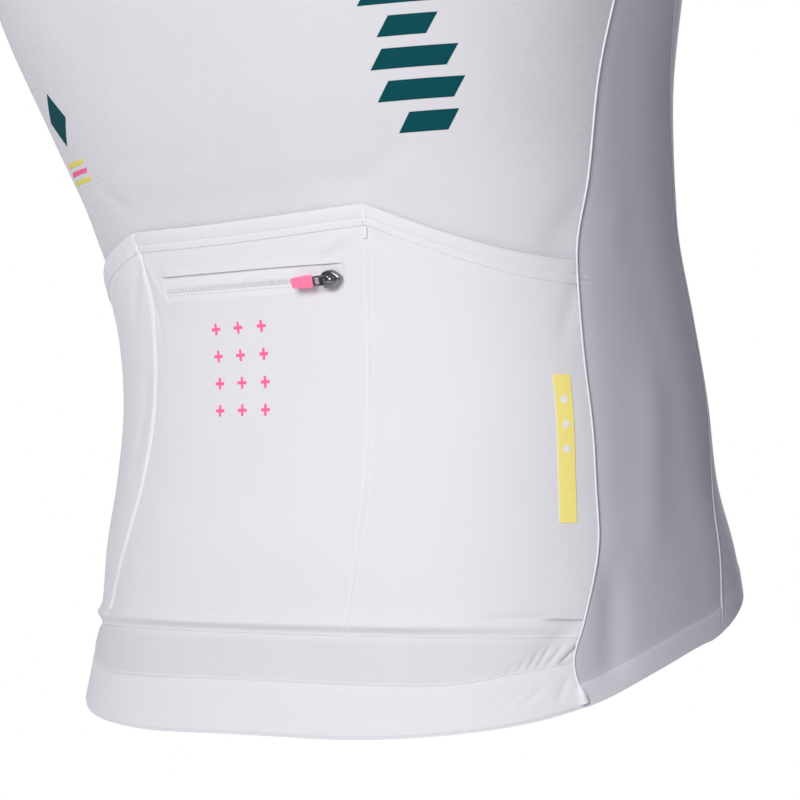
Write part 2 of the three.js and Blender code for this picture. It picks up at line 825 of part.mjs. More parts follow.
function sleeve(name, sign) {
  const out = degToRad(SLEEVE_OUT_DEGREES);
  const forward = degToRad(SLEEVE_FORWARD_DEGREES);
  const arm = new THREE.Vector3(
    -sign * Math.sin(out) * Math.cos(forward),
    -Math.sin(forward),
    -Math.cos(out) * Math.cos(forward),
  );
  const upright = new THREE.Vector3(0, 0, 1).addScaledVector(arm, -arm.z).normalize();
  const rearward = arm.clone().cross(upright).multiplyScalar(sign);
  const leave = new THREE.Vector3(-sign, 0, 0);
  const angles = shares(SLEEVE_SIDES).slice(0, -1).map((share) => 2 * Math.PI * share);
  const hole = angles.map((angle) => armholePoint(sign, angle));
  const middle = hole.reduce((sum, point) => sum.add(point), new THREE.Vector3());
  middle.divideScalar(hole.length);
  const cuffMiddle = middle.clone().addScaledVector(arm, SLEEVE_REACH);
  const circle = (radius, reach) => {
    return angles.map((angle) => {
      return cuffMiddle
        .clone()
        .addScaledVector(arm, reach)
        .addScaledVector(upright, radius * Math.cos(angle))
        .addScaledVector(rearward, radius * Math.sin(angle));
    });
  };
  const end = circle(CUFF_RADIUS, 0);
  const ring = (t) => {
    return hole.map((point, k) => {
      const start = point.clone().addScaledVector(leave, ARMHOLE_GAP);
      return start
        .multiplyScalar((1 + 2 * t) * (1 - t) ** 2)
        .addScaledVector(leave, SLEEVE_LEAVES * t * (1 - t) ** 2)
        .addScaledVector(end[k], t * t * (3 - 2 * t))
        .addScaledVector(arm, -SLEEVE_ARRIVES * t * t * (1 - t));
    });
  };
  const outer = [0, 0.08, 0.2, 0.36, 0.52, 0.68, 0.84, 1].map(ring);
  add("sleeve_" + name, wall(outer, outer.map((points) => inset(points, WALL)), true), COLOURS.rib);
  const band = [
    circle(CUFF_RADIUS + CUFF_RISE, SEAM_GAP),
    circle(CUFF_RADIUS - CUFF_TAPER, CUFF_WIDTH),
  ];
  add("cuff_" + name, wall(band, band.map((points) => inset(points, BAND_WALL)), true), COLOURS.band);
}

// A ring of points drawn in towards its middle.
function inset(points, by) {
  const middle = points.reduce((sum, point) => sum.add(point), new THREE.Vector3());
  middle.divideScalar(points.length);
  return points.map((point) => {
    return point.clone().addScaledVector(middle.clone().sub(point).normalize(), by);
  });
}

for (const { name, sign } of SIDES) sleeve(name, sign);

export default root;
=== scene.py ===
# A short-sleeved cycling jersey, filled out as worn: fine cloth shells, seams, stitching, zips and prints
# over the part's solids. Tables are in millimetres on the garment itself: levels run up from the lowest
# point of the hem, turns run in degrees round from the spine to the wearer's right, and arcs are distances
# along the cloth that way.
import math

import bmesh
import bpy
import numpy as np
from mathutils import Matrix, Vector


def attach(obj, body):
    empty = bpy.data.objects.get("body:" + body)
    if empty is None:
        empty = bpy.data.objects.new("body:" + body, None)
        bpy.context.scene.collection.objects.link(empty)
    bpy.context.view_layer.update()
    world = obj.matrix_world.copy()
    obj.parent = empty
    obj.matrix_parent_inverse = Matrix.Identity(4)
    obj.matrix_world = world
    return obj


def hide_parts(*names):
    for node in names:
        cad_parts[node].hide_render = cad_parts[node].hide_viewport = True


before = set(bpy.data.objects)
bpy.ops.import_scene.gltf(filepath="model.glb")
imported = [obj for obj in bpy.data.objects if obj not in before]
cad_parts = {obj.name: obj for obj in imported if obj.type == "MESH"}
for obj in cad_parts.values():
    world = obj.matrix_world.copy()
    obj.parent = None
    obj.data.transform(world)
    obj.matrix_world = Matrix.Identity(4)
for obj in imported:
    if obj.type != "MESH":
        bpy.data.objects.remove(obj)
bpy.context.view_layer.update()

MM = 0.001
JERSEY, POCKET_PULL, FRONT_PULL = "jersey", "pocket_pull", "front_pull"
SIDES = (("left", -1), ("right", 1))

# Cloth and seams
WALL, BAND_WALL, POCKET_WALL = 1.3, 1.5, 1.2
SEAM_GAP = 0.1
SEAM_DIP, SEAM_DIP_WIDTH = 0.18, 1.3
HALF_GAP_TURN = 0.02
SECTION_POWER = 2.4
PANEL_ROUNDS = 8
EDGE_ROLL, BAND_ROLL, ROLLED_WIDTH = -0.6, -0.7, 1.2

# Heights on the garment
UNDERARM, SHOULDER_TIP, NECK, COLLAR_TOP = 450, 606, 672, 702
NECK_HEIGHT = 645
SHOULDER_TURN, FRONT_TURN = 90, 180

# Pockets
POCKET_FOOT = 53
ROLL_LEVEL, ROLL_WIDTH, ROLL_RISE = 57, 3.6, 2
ROLL_FLATTENS, ROLL_FLATTENED = (70, 140), 0.75
CORNER_TURN = 25
BINDING_WIDTH, BINDING_SEAM, BINDING_WALL = 9.5, 6.2, 0.7
BINDING_BASE, BINDING_LIFT, BINDING_TAIL = 0.3, 0.85, 0.35
BINDING_LINES = (BINDING_SEAM, BINDING_WIDTH - 0.7)
POCKET_PUFF, POCKET_EDGE_DEPTH = 1, -0.5
BACK_UNDER_POCKET, BACK_BELOW_POCKET = -2.0, -0.5
BACK_SINK = (50, 56)
BACK_RISE = 24
FOOT_JOINS = (POCKET_FOOT, 59)
FOOT_DEPTH, FOOT_WALL = -0.95, 0.25

# Zip across the middle pocket: its window is measured across from a middle line that falls to the right
ZIP_MIDDLE, ZIP_FALL = 210.5, 0.085
ZIP_LEFT, ZIP_RIGHT, ZIP_HALF_HEIGHT, ZIP_CORNER = -54, 56, 6.4, 2.5
ZIP_RECESS, ZIP_RIM, ZIP_RIM_EDGE = 0.7, 0.25, (-0.9, 0.4)
TAPE_INSET, TAPE_DEPTH, TAPE_WALL = 0.4, -0.35, 0.5
TOOTH_PITCH = 0.75
CHAIN_LINE, CHAIN_LIFT = -1, 0.1
STITCH_LINE, STITCH_LINE_END, STITCH_LINE_DEPTH = -3.8, 41, -0.3
LIP_LOW, LIP_HIGH, LIP_WALL, LIP_LIFT = 5.4, 9, 0.5, 0.15
CAD_COIL_LEVEL, CAD_COIL_LIFT = 209.5, 2.35
SLIDER_ARC, SLIDER_CLEAR = 50, 0.3

# Slider, pull and tab
SLIDER_HALF, SLIDER_END, SLIDER_TOP, SLIDER_POWER, SLIDER_NARROWS = 4.1, 5.2, 1.35, 2.5, 0.42
CROWN_REACH, CROWN_HALF, CROWN_TOP, CROWN_THICK, CROWN_FOOT = 2.7, 1.2, 3.9, 0.85, 0.7
HINGE_HEIGHT = 2
PULL_LENGTH, PULL_HALF, PULL_WIRE = 8.2, 2.4, 0.5
BAR_HALF, PULL_BARS = 2.2, (("eye", -4.6), ("end", -7.7))
TAB_START, TAB_LENGTH, TAB_HALF, TAB_THICK, TAB_TAPER = 7.9, 11.4, 3.1, 1.8, 0.22
TAB_GRIP, TAB_GRIP_REACH = 0.1, 0.75

# Hems, sleeves and front zip
HEM_WIDTH, HEM_RISE, HEM_STEP = 11, 0.5, 0.4
FOLD_CLEAR = 14
ARMHOLE_NEARS = (380, 430)
SIDE_SINK, SIDE_SINK_WIDTH, SIDE_SINK_STARTS = -0.7, 5, (72, 95)
SLEEVE_REACH, SLEEVE_OUT_DEGREES, SLEEVE_FORWARD_DEGREES = 195, 50, 14
SLEEVE_LEAVES, SLEEVE_ARRIVES = 70, 190
SLEEVE_SIDES, SLEEVE_SOURCE_SIDES = 120, 20
CUFF_RADIUS, CUFF_WIDTH, CUFF_TAPER, CUFF_LIFT = 50, 28, 1.5, 0.3
CUFF_STITCH_LIFT, CUFF_STITCH_REACHES = 0.35, (-1.5, 1.5)
ZIP_OPENING = 2.9
FRONT_TAPE_EDGES, FRONT_TAPE_DEPTH, FRONT_TAPE_WALL = (0.4, 13), -1.7, 0.6
FRONT_SLIDER_BELOW_TOP = 5.5

# Stitching and seams
STITCH_PITCH, STITCH_LENGTH, STITCH_RADIUS = 2.1, 1.75, 0.2
SEAM_RADIUS, ARMHOLE_SEAM_RADIUS = 0.5, 0.75
CORNER_LEVEL, CORNER_BUMPS = 31, {"left": 0.5, "right": 3.2}

# Reflective strip on the wearer's right pocket
STRIP_TOP, STRIP_FOOT, STRIP_TOP_ARC, STRIP_FOOT_ARC, STRIP_HALF = 165, 103.5, 150, 156.5, 4
STRIP_LIFT, STRIP_WALL = 0.35, 0.45

# Sections from the hem up, as in the part's source
SECTION_COLUMNS = ("level", "half", "back", "front", "stand", "sway", "lean", "drop")
SECTIONS = [
    (0, 174, 131, 98, -31.5, 10, 0, 0),
    (35, 166, 129.5, 94.5, -29, 5.5, 0, 0),
    (62, 159.5, 130, 92, -26.5, 1.3, 0, 0),
    (90, 155, 129, 88.5, -23.5, -0.6, 0, 0),
    (120, 148.3, 122.5, 85.5, -20.5, -0.3, 0, 0),
    (155, 144.7, 115.5, 87, -17.5, 0.3, 0.021, 0),
    (190, 142.2, 109, 90, -9.5, 1.5, 0.051, 0),
    (220, 142, 106, 92, -1, 3.4, 0.077, 0),
    (250, 145, 106.4, 96, 5, 5.8, 0.081, 0),
    (290, 154, 112, 104, 16, 9.1, 0.082, 0),
    (345, 169.7, 121, 117, 26.7, 13.6, 0.082, 0),
    (400, 178, 128, 122, 34, 18, 0.08, 0),
    (450, 182, 131, 124, 38, 21.5, 0.075, 0),
    (500, 185, 131, 121, 39, 25, 0.067, 1),
    (545, 184, 127, 113, 37, 27.5, 0.058, 9),
    (585, 176, 119, 104, 33, 30, 0.052, 26),
    (612, 158, 109, 96, 30, 31.5, 0.047, 41),
    (632, 129, 96, 87, 27, 32.5, 0.042, 54),
    (650, 97, 80, 76, 24, 33, 0.038, 66),
    (664, 74, 66, 66, 22, 33.5, 0.036, 74),
    (674, 68, 61.5, 63, 20, 34, 0.035, 77),
    (702, 65.5, 58.5, 60.5, 16, 35, 0.034, 77),
]

# Side panel seams and armhole edges, in degrees from the spine
EDGE_COLUMNS = ("level", "behind", "before")
SIDE_SEAMS = [
    (0, 63, 93),
    (24, 61, 94),
    (42, 59.5, 94.5),
    (60, 62.6, 95),
    (86, 66.8, 98),
    (104, 68.8, 101),
    (130, 70, 108),
    (170, 70, 112),
    (211, 73, 113),
    (244, 79, 113),
    (295, 85, 111),
    (345, 90, 108),
    (400, 93, 104.5),
    (450, 95, 101),
]
ARMHOLE = [
    (450, 95, 101),
    (456, 89, 106.5),
    (468, 83.5, 112),
    (490, 78.5, 116.5),
    (520, 76, 118),
    (550, 76, 116),
    (575, 78.5, 111),
    (592, 82, 105),
    (602, 86, 98),
    (606, 90, 90),
]

# Lines that run round the body, by degrees from the spine
LINE_COLUMNS = ("turn", "level")
HEM = [(0, 7), (20, 7), (44, 13), (62, 23), (76, 36), (96, 55), (110, 66), (140, 84), (180, 92)]
BAND_SEAM = [(0, 31), (34, 31), (47, 36), (62, 42)]

# Top edges of the pockets, meeting at corners over the seams between them
POCKET_TOPS = {
    "left": [(-74, 211), (-58, 221), (-44, 230), (-33, 235.5), (-CORNER_TURN, 239.5)],
    "centre": [(-CORNER_TURN, 239.5), (0, 237.5), (CORNER_TURN, 238.5)],
    "right": [
        (CORNER_TURN, 238.5), (33, 230.8), (41, 224), (50, 217.8), (59, 213.3), (68, 210.5), (74, 209.5),
    ],
}

# Seams between the pockets, by arc: worn, they drift to the wearer's left
DIVISION_COLUMNS = ("level", "left", "right")
DIVISIONS = [
    (53, -115, 54.5),
    (66, -108.5, 56.7),
    (78, -101.5, 58.3),
    (94, -91.5, 60.5),
    (116, -81.5, 61.5),
    (135, -76.5, 61),
    (160, -73, 61),
    (190, -69.3, 63),
    (212, -67.2, 66),
    (240, -70.5, 71),
]

# Soft folds of the worn cloth, as ridges and troughs between two points on it: the arc and level of one
# point, the arc and level of the other, the width and the height
BACK_FOLDS = [
    (-70, 247, -94, 266, 4, -0.7),
    (-68, 246, -46, 258, 5, -0.5),
    (71, 242, 74, 262, 1.6, -0.8),
    (71, 246, 100, 264, 5, -0.6),
    (69, 246, 44, 256, 5, -0.5),
    (150, 214, 178, 240, 6, -0.7),
    (-150, 222, -178, 244, 6, -0.7),
    (222, 440, 150, 398, 8, -2.6),
    (226, 452, 160, 430, 7, 2),
    (224, 462, 176, 470, 7, -2.2),
    (-222, 440, -146, 390, 8, -2.6),
    (-226, 452, -164, 424, 7, 2),
    (-224, 464, -180, 474, 7, -2),
    (60, 640, 130, 600, 10, 1.8),
    (-60, 640, -130, 596, 10, 1.6),
    (-30, 560, 30, 566, 16, 1.3),
]
BAND_FOLDS = [
    (156, 42, 164, 50, 0.8, -0.9),
    (152, 40, 165, 55, 2.2, 0.8),
    (150, 41, 157, 49.5, 0.8, -0.9),
    (145.5, 40, 151, 49, 0.8, -0.9),
    (141.5, 39, 146, 47, 0.8, -0.8),
    (137, 38, 141, 44.5, 0.9, -0.6),
    (132, 36, 136, 42, 1, -0.4),
    (143, 44, 164, 60, 4, -0.8),
    (-166, 56, -146, 38, 2, -1),
    (-160, 55, -134, 36, 2, 0.8),
]
GRIPPER_FOLDS = [
    (150, 32, 140, 22, 1.6, -0.4),
    (142, 30, 131, 21, 1.5, -0.3),
    (160, 36, 156, 24, 1.8, -0.4),
    (132, 29, 124, 20, 1.4, -0.2),
]
POCKET_FOLDS = [
    (72, 226, 89, 208, 1.6, -0.6),
    (74, 231, 104, 209, 2.6, 0.4),
    (78, 222, 128, 176, 7, 0.5),
    (66, 228, 42, 219, 2.4, 0.5),
    (64, 222, 36, 214, 2.4, -0.35),
    (-70, 230, -88, 196, 3.6, -0.8),
    (-73, 232, -104, 214, 3, 0.5),
    (-66, 228, -57, 208, 2, 0.5),
    (-63, 200, -40, 192, 4, -0.5),
    (-66, 214, -62, 186, 2.2, -0.5),
    (-78, 176, -92, 120, 5, -0.6),
    (148, 60.6, 170, 60, 0.6, -2.2),
    (146, 57.5, 166, 57.5, 1.6, -0.5),
    (134, 62, 176, 61, 2.4, -0.5),
    (118, 61, 150, 61.5, 1.8, -0.7),
    (-60, 61.5, 34, 60.5, 1.8, -0.55),
    (164, 204, 150, 178, 4, -0.6),
    (56, 112, 50, 84, 6, -0.3),
]
SIDE_FOLDS = [
    (214, 322, 196, 296, 3, -0.5),
    (182, 212, 196, 238, 7, 0.6),
    (180, 34, 179, 86, 7, -1.8),
    (202, 92, 199, 178, 10, 1.3),
    (-182, 212, -198, 240, 7, 0.6),
    (228, 438, 236, 390, 6, -1.2),
    (-228, 438, -238, 384, 6, -1.2),
]
FRONT_FOLDS = [
    (282, 452, 346, 392, 5, -3.2),
    (286, 466, 354, 436, 5, 2.6),
    (284, 478, 348, 482, 5, -2.8),
    (-282, 452, -350, 386, 5, -3.2),
    (-286, 466, -350, 432, 5, 2.5),
    (-284, 480, -356, 490, 5, -2.7),
    (272, 254, 344, 236, 5, -3),
    (268, 236, 356, 214, 5, 2.2),
    (-272, 256, -338, 232, 5, -2.8),
    (-268, 234, -352, 218, 5, 2.1),
    (290, 200, 358, 178, 6, -2.4),
    (-296, 194, -352, 182, 6, -2.2),
    (318, 560, 386, 512, 8, 2.4),
    (-318, 560, -390, 508, 8, 2.3),
]
# On the sleeves the first of each pair is the degrees round the arm, the second the distance down it
SLEEVE_FOLDS = [
    (20, 20, 120, 60, 7, -3.2),
    (10, 60, 110, 96, 8, 2.6),
    (170, 18, 90, 70, 6, -3.2),
    (182, 12, 120, 96, 6, 2.5),
    (196, 24, 150, 110, 7, -3),
    (250, 30, 196, 84, 7, 2.6),
    (330, 40, 250, 120, 9, -2.8),
]


# Curves and shapes
def curve(columns, rows, along, value):
    """A smooth curve through a table's rows, going on straight past its ends."""
    x = np.array([row[columns.index(along)] for row in rows], float)
    y = np.array([row[columns.index(value)] for row in rows], float)
    ends = np.arange(len(x))
    before = np.maximum(ends - 1, 0)
    after = np.minimum(ends + 1, len(x) - 1)
    slopes = (y[after] - y[before]) / (x[after] - x[before])

    def at(spot):
        spot = np.asarray(spot, float)
        i = np.clip(np.searchsorted(x, spot, side="right") - 1, 0, len(x) - 2)
        span = x[i + 1] - x[i]
        t = np.clip((spot - x[i]) / span, 0, 1)
        found = y[i] * (1 + 2 * t) * (1 - t) ** 2 + y[i + 1] * t * t * (3 - 2 * t)
        found = found + span * t * (1 - t) * (slopes[i] * (1 - t) - slopes[i + 1] * t)
        below = np.minimum(spot - x[0], 0) * slopes[0]
        above = np.maximum(spot - x[-1], 0) * slopes[-1]
        return found + below + above

    return at


def lerp(a, b, share):
    return a + (b - a) * share


def smooth_step(value, low, high):
    t = np.clip((value - low) / (high - low), 0, 1)
    return t * t * (3 - 2 * t)


def bell(distance, width):
    """One at no distance, falling off over a width or two."""
    return np.exp(-((distance / width) ** 2))


def puffed(share):
    """A rounded swell, nought at the shares 0 and 1."""
    return np.sqrt(np.maximum(np.sin(np.pi * share), 0))


def signed_power(value, power):
    return np.sign(value) * np.abs(value) ** power


def stacked(*parts):
    """Arrays side by side along a new last axis, spread to one shape."""
    return np.stack(np.broadcast_arrays(*parts), axis=-1)


def angles(sides):
    return np.arange(sides) * 2 * np.pi / sides


def shares(count, crowd):
    """Shares from 0 to 1 that crowd together towards both ends."""
    t = np.linspace(0, 1, count)
    return t - crowd * np.sin(2 * np.pi * t) / (2 * np.pi)


def steps(*runs):
    """Rows along runs of (start, end, count)."""
    parts = [np.linspace(start, end, count, endpoint=False) for start, end, count in runs]
    return np.append(np.concatenate(parts), runs[-1][1])


section = {name: curve(SECTION_COLUMNS, SECTIONS, "level", name) for name in SECTION_COLUMNS[1:]}
side_behind, side_before = (curve(EDGE_COLUMNS, SIDE_SEAMS, "level", name) for name in EDGE_COLUMNS[1:])
armhole_behind, armhole_before = (curve(EDGE_COLUMNS, ARMHOLE, "level", name) for name in EDGE_COLUMNS[1:])
hem_curve, band_curve = (curve(LINE_COLUMNS, rows, *LINE_COLUMNS) for rows in (HEM, BAND_SEAM))
top_curves = {name: curve(LINE_COLUMNS, rows, *LINE_COLUMNS) for name, rows in POCKET_TOPS.items()}

ORIGIN = np.array([float(section["sway"](NECK)), float(section["stand"](NECK)), NECK_HEIGHT])


def hem(turn):
    return hem_curve(np.abs(turn))


def band_seam(turn):
    return band_curve(np.abs(turn))


def pocket_top(turn):
    outer = np.where(turn < 0, top_curves["left"](turn), top_curves["right"](turn))
    return np.where(np.abs(turn) < CORNER_TURN, top_curves["centre"](turn), outer)


# The garment's surface
def skin(level, turn):
    """Points of the body's outer surface, in millimetres in the part's frame."""
    round_turn = np.radians(turn)
    power = 2 / SECTION_POWER
    rear = np.cos(round_turn)
    depth = np.where(rear > 0, section["back"](level), section["front"](level))
    x = section["half"](level) * signed_power(-np.sin(round_turn), power)
    y = depth * signed_power(rear, power)
    z = level - section["lean"](level) * x - section["drop"](level) * ((1 - rear) / 2) ** 2
    return stacked(section["sway"](level) + x, section["stand"](level) + y, z) - ORIGIN


def unit(vectors):
    return vectors / np.maximum(np.linalg.norm(vectors, axis=-1, keepdims=True), 1e-12)


def directions(level, turn):
    """The surface's directions: to the wearer's right, up the cloth, and out of it."""
    step = 0.4
    right = unit(skin(level, turn + step) - skin(level, turn - step))
    up = unit(skin(level + 1, turn) - skin(level - 1, turn))
    return right, up, unit(np.cross(right, up))


def place(level, turn, depth=0.0):
    """Points of the surface moved out by a depth."""
    level = np.asarray(level, float)
    turn = np.asarray(turn, float)
    return skin(level, turn) + directions(level, turn)[2] * np.asarray(depth)[..., None]


# Distances along the cloth from the spine, on a grid of levels and turns
ARC_STEP = 5.0
ARC_LEVELS = np.arange(-20, 721, ARC_STEP)
ARC_TURNS = np.arange(-180, 181, 1.0)
FARTHEST_TURN, TURN_HALVINGS = 179.9, 26


def arc_table():
    points = skin(ARC_LEVELS[:, None], ARC_TURNS[None, :])
    lengths = np.linalg.norm(np.diff(points, axis=1), axis=-1)
    arcs = np.concatenate([np.zeros((len(ARC_LEVELS), 1)), np.cumsum(lengths, axis=1)], axis=1)
    return arcs - arcs[:, [len(ARC_TURNS) // 2]]


ARCS = arc_table()


def arc_of(level, turn):
    """The distance along a level from the spine to a turn."""
    row = np.clip((level - ARC_LEVELS[0]) / ARC_STEP, 0, len(ARC_LEVELS) - 1.001)
    column = np.clip(turn - ARC_TURNS[0], 0, len(ARC_TURNS) - 1.001)
    i, j = row.astype(int), column.astype(int)
    s, t = row - i, column - j
    near = ARCS[i, j] * (1 - t) + ARCS[i, j + 1] * t
    far = ARCS[i + 1, j] * (1 - t) + ARCS[i + 1, j + 1] * t
    return near * (1 - s) + far * s


def turn_at(level, arc):
    """The turn at which the cloth has run a distance from the spine."""
    level, arc = np.broadcast_arrays(np.asarray(level, float), np.asarray(arc, float))
    low = np.full(level.shape, -FARTHEST_TURN)
    high = np.full(level.shape, FARTHEST_TURN)
    for _ in range(TURN_HALVINGS):
        middle = (low + high) / 2
        short = arc_of(level, middle) < arc
        low = np.where(short, middle, low)
        high = np.where(short, high, middle)
    return (low + high) / 2


def turn_at_x(level, x):
    """The turn of the front edge that lies a distance from the middle of the front."""
    share = (x / section["half"](level)) ** (SECTION_POWER / 2)
    return FRONT_TURN - np.degrees(np.arcsin(share))


# Materials, each paired with the name of a slot
FIBRE, CLOUD = (1400, 3), (28, 4)
SHEEN, SHEEN_ROUGHNESS, KNIT_ROUGHNESS = 0.2, 0.45, 0.85
KNIT_BUMP, PLAIN_BUMP = 0.2 * MM, 0.1 * MM
PLAIN_DETAIL, GLOSS_SPREAD = 5, 0.12


def node_material(name, roughness, sheen=0.0, metallic=0.0, specular=0.5):
    material = bpy.data.materials.new(name)
    material.use_nodes = True
    shader = material.node_tree.nodes["Principled BSDF"]
    settings = {
        "Roughness": roughness,
        "Metallic": metallic,
        "Sheen Weight": sheen,
        "Sheen Roughness": SHEEN_ROUGHNESS,
        "Specular IOR Level": specular,
    }
    for socket, value in settings.items():
        shader.inputs[socket].default_value = value
    return material, Graph(material.node_tree), shader


class Graph:
    """Small helpers for a material's nodes."""

    def __init__(self, tree):
        self.tree = tree

    def node(self, kind, **settings):
        made = self.tree.nodes.new(kind)
        for key, value in settings.items():
            setattr(made, key, value)
        return made

    def link(self, source, target):
        self.tree.links.new(source, target)

    def math(self, operation, *values):
        made = self.node("ShaderNodeMath", operation=operation)
        for socket, value in zip(made.inputs, values):
            if isinstance(value, (int, float)):
                socket.default_value = value
            else:
                self.link(value, socket)
        return made.outputs[0]

    def add(self, first, second):
        return self.math("ADD", first, second)

    def times(self, first, second):
        return self.math("MULTIPLY", first, second)

    def noise(self, scale, detail):
        made = self.node("ShaderNodeTexNoise")
        made.inputs["Scale"].default_value = scale
        made.inputs["Detail"].default_value = detail
        self.link(self.node("ShaderNodeTexCoord").outputs["Object"], made.inputs["Vector"])
        return made.outputs["Fac"]

    def tint(self, factor, low, high, colour, contrast, shader):
        """Colours a surface from a darker shade at a low factor to a lighter one at a high factor."""
        ramp = self.node("ShaderNodeValToRGB")
        stops = ((low, 1 - contrast), (high, 1 + contrast))
        for element, (position, shade) in zip(ramp.color_ramp.elements, stops):
            element.position = position
            element.color = (*(channel * shade for channel in colour), 1)
        self.link(factor, ramp.inputs[0])
        self.link(ramp.outputs[0], shader.inputs["Base Color"])

    def bump(self, height, strength, distance, shader):
        made = self.node("ShaderNodeBump")
        made.inputs["Strength"].default_value = strength
        made.inputs["Distance"].default_value = distance
        self.link(height, made.inputs["Height"])
        self.link(made.outputs[0], shader.inputs["Normal"])


def knit(name, colour, course, wale, relief, contrast, slot=None):
    """Knitted cloth: staggered stitches in courses, with a soft cloudiness and fine fibre noise."""
    material, graph, shader = node_material(name, KNIT_ROUGHNESS, sheen=SHEEN)
    split = graph.node("ShaderNodeSeparateXYZ")
    graph.link(graph.node("ShaderNodeUVMap", uv_map="cloth").outputs[0], split.inputs[0])
    rows = graph.math("DIVIDE", split.outputs[1], course * MM)
    columns = graph.math("DIVIDE", split.outputs[0], wale * MM)
    stagger = graph.times(graph.math("FLOOR", rows), 0.5)
    row_wave = graph.math("SINE", graph.times(rows, 2 * math.pi))
    column_wave = graph.math("SINE", graph.times(graph.add(columns, stagger), 2 * math.pi))
    stitch = graph.add(graph.times(row_wave, 0.6), graph.times(column_wave, 0.4))
    fibre = graph.noise(*FIBRE)
    graph.bump(graph.add(stitch, graph.times(fibre, 0.8)), relief, KNIT_BUMP, shader)
    tone = graph.add(graph.times(stitch, 0.16), graph.noise(*CLOUD))
    tone = graph.add(tone, graph.times(fibre, 0.2))
    graph.tint(tone, 0.25, 0.95, colour, contrast, shader)
    return material, slot or name


def plain(name, colour, roughness, slot=None, scale=900, contrast=0.05, relief=0.1, **shine):
    """A moulded, printed or metal surface with a fine unevenness in tone, gloss and height."""
    material, graph, shader = node_material(name, roughness, **shine)
    noise = graph.noise(scale, PLAIN_DETAIL)
    graph.tint(noise, 0.3, 0.7, colour, contrast, shader)
    rough = graph.add(graph.times(noise, GLOSS_SPREAD), roughness - GLOSS_SPREAD / 2)
    graph.link(rough, shader.inputs["Roughness"])
    graph.bump(noise, relief, PLAIN_BUMP, shader)
    return material, slot or name


RIB = knit("rib_knit", (0.68, 0.675, 0.7), 0.85, 3.4, relief=0.16, contrast=0.025)
SMOOTH = knit("smooth_knit", (0.73, 0.728, 0.747), 0.5, 0.6, relief=0.05, contrast=0.012)
# Painted shade: the fronts are the same white knit as the back, coloured greyer for the shade they lie in.
FRONT_KNIT_PAINTED_SHADE = knit("front_knit_painted_shade", (0.59, 0.58, 0.63), 0.5, 0.6, relief=0.08, contrast=0.02, slot="smooth_knit")
# The side panels' knit is thinner and a little greyer, and it is also painted darker as a painted shade for
# the side that faces away from the key lamp.
SIDE_KNIT_GREY_AND_PAINTED_SHADE = knit("side_knit", (0.515, 0.502, 0.553), 0.6, 0.7, relief=0.12, contrast=0.03)
# Painted shade on the turned hems of the side panels and fronts: white cloth coloured greyer, a little paler
# than the side panels for the double cloth.
SIDE_HEM_PAINTED_SHADE = knit("side_hem_painted_shade", (0.62, 0.605, 0.655), 0.6, 0.7, relief=0.1, contrast=0.02, slot="side_knit")
BAND = knit("gripper_band", (0.74, 0.738, 0.757), 0.6, 0.5, relief=0.07, contrast=0.015)
TAPE = knit("zip_tape", (0.77, 0.768, 0.79), 0.5, 1.2, relief=0.2, contrast=0.02)
THREAD = plain("thread", (0.8, 0.8, 0.82), 0.6, "smooth_knit", scale=3000)
# Painted shade: a grey thread standing in for the shadows between the stitches along the pocket zip.
PAINTED_SHADE_THREAD = plain("painted_shade_thread", (0.48, 0.48, 0.5), 0.7, "smooth_knit", scale=3000)
SEAM = plain("seam_thread", (0.78, 0.78, 0.8), 0.65, "smooth_knit", scale=2600, relief=0.3)
# Painted shade: the seam at the front of the side panel is coloured grey like the shaded side, though its
# thread is white.
SIDE_SEAM_PAINTED_SHADE = plain("side_seam_thread_painted_shade", (0.53, 0.52, 0.57), 0.65, "smooth_knit", scale=2600, relief=0.3)
COIL = plain("zip_coil", (0.8, 0.8, 0.83), 0.35, scale=2000)
FILM = plain("reflective_film", (0.97, 0.84, 0.245), 0.4, contrast=0.04)
METAL = plain("slider_metal", (0.28, 0.28, 0.3), 0.2, metallic=1.0, contrast=0.1)
PINK = plain("pink_rubber", (1.0, 0.2, 0.36), 0.45, scale=1200)
WHITE_RUBBER = plain("white_rubber", (0.85, 0.85, 0.88), 0.5, scale=1200)
TEAL_PRINT = plain("teal_print", (0.0, 0.065, 0.077), 0.6, "rib_knit", specular=0.1, contrast=0.08)
PINK_PRINT = plain("pink_print", (1.0, 0.13, 0.33), 0.55, "rib_knit")
YELLOW_PRINT = plain("yellow_print", (0.85, 0.75, 0.12), 0.55, "rib_knit")
WHITE_PRINT = plain("white_print", (0.86, 0.85, 0.82), 0.55, "reflective_film")
PINK_ON_POCKET = (PINK_PRINT[0], "smooth_knit")


# Meshes
def added(name, data):
    """An object in the scene, of a mesh, a lamp or a camera."""
    made = bpy.data.objects.new(name, data)
    bpy.context.scene.collection.objects.link(made)
    return made


def new_piece(name, vertices, faces, finish, body=JERSEY, uv=None, sharp_degrees=50):
    """A piece of the visual model, from points in millimetres and a material with its slot; the slot is not
    used.
    """
    material, slot = finish
    mesh = bpy.data.meshes.new(name)
    mesh.from_pydata((np.asarray(vertices) * MM).tolist(), [], faces)
    if uv is not None:
        layer = mesh.uv_layers.new(name="cloth")
        loops = np.empty(len(mesh.loops), dtype=np.int32)
        mesh.loops.foreach_get("vertex_index", loops)
        layer.data.foreach_set("uv", (np.asarray(uv) * MM)[loops].ravel())
    piece = added(name, mesh)
    mesh.polygons.foreach_set("use_smooth", [True] * len(mesh.polygons))
    mesh.set_sharp_from_angle(angle=math.radians(sharp_degrees))
    mesh.materials.append(material)
    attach(piece, body)
    return piece


def wrapped(index):
    """A grid of indices with its first column again after its last one."""
    return np.concatenate([index, index[:, :1]], axis=1)


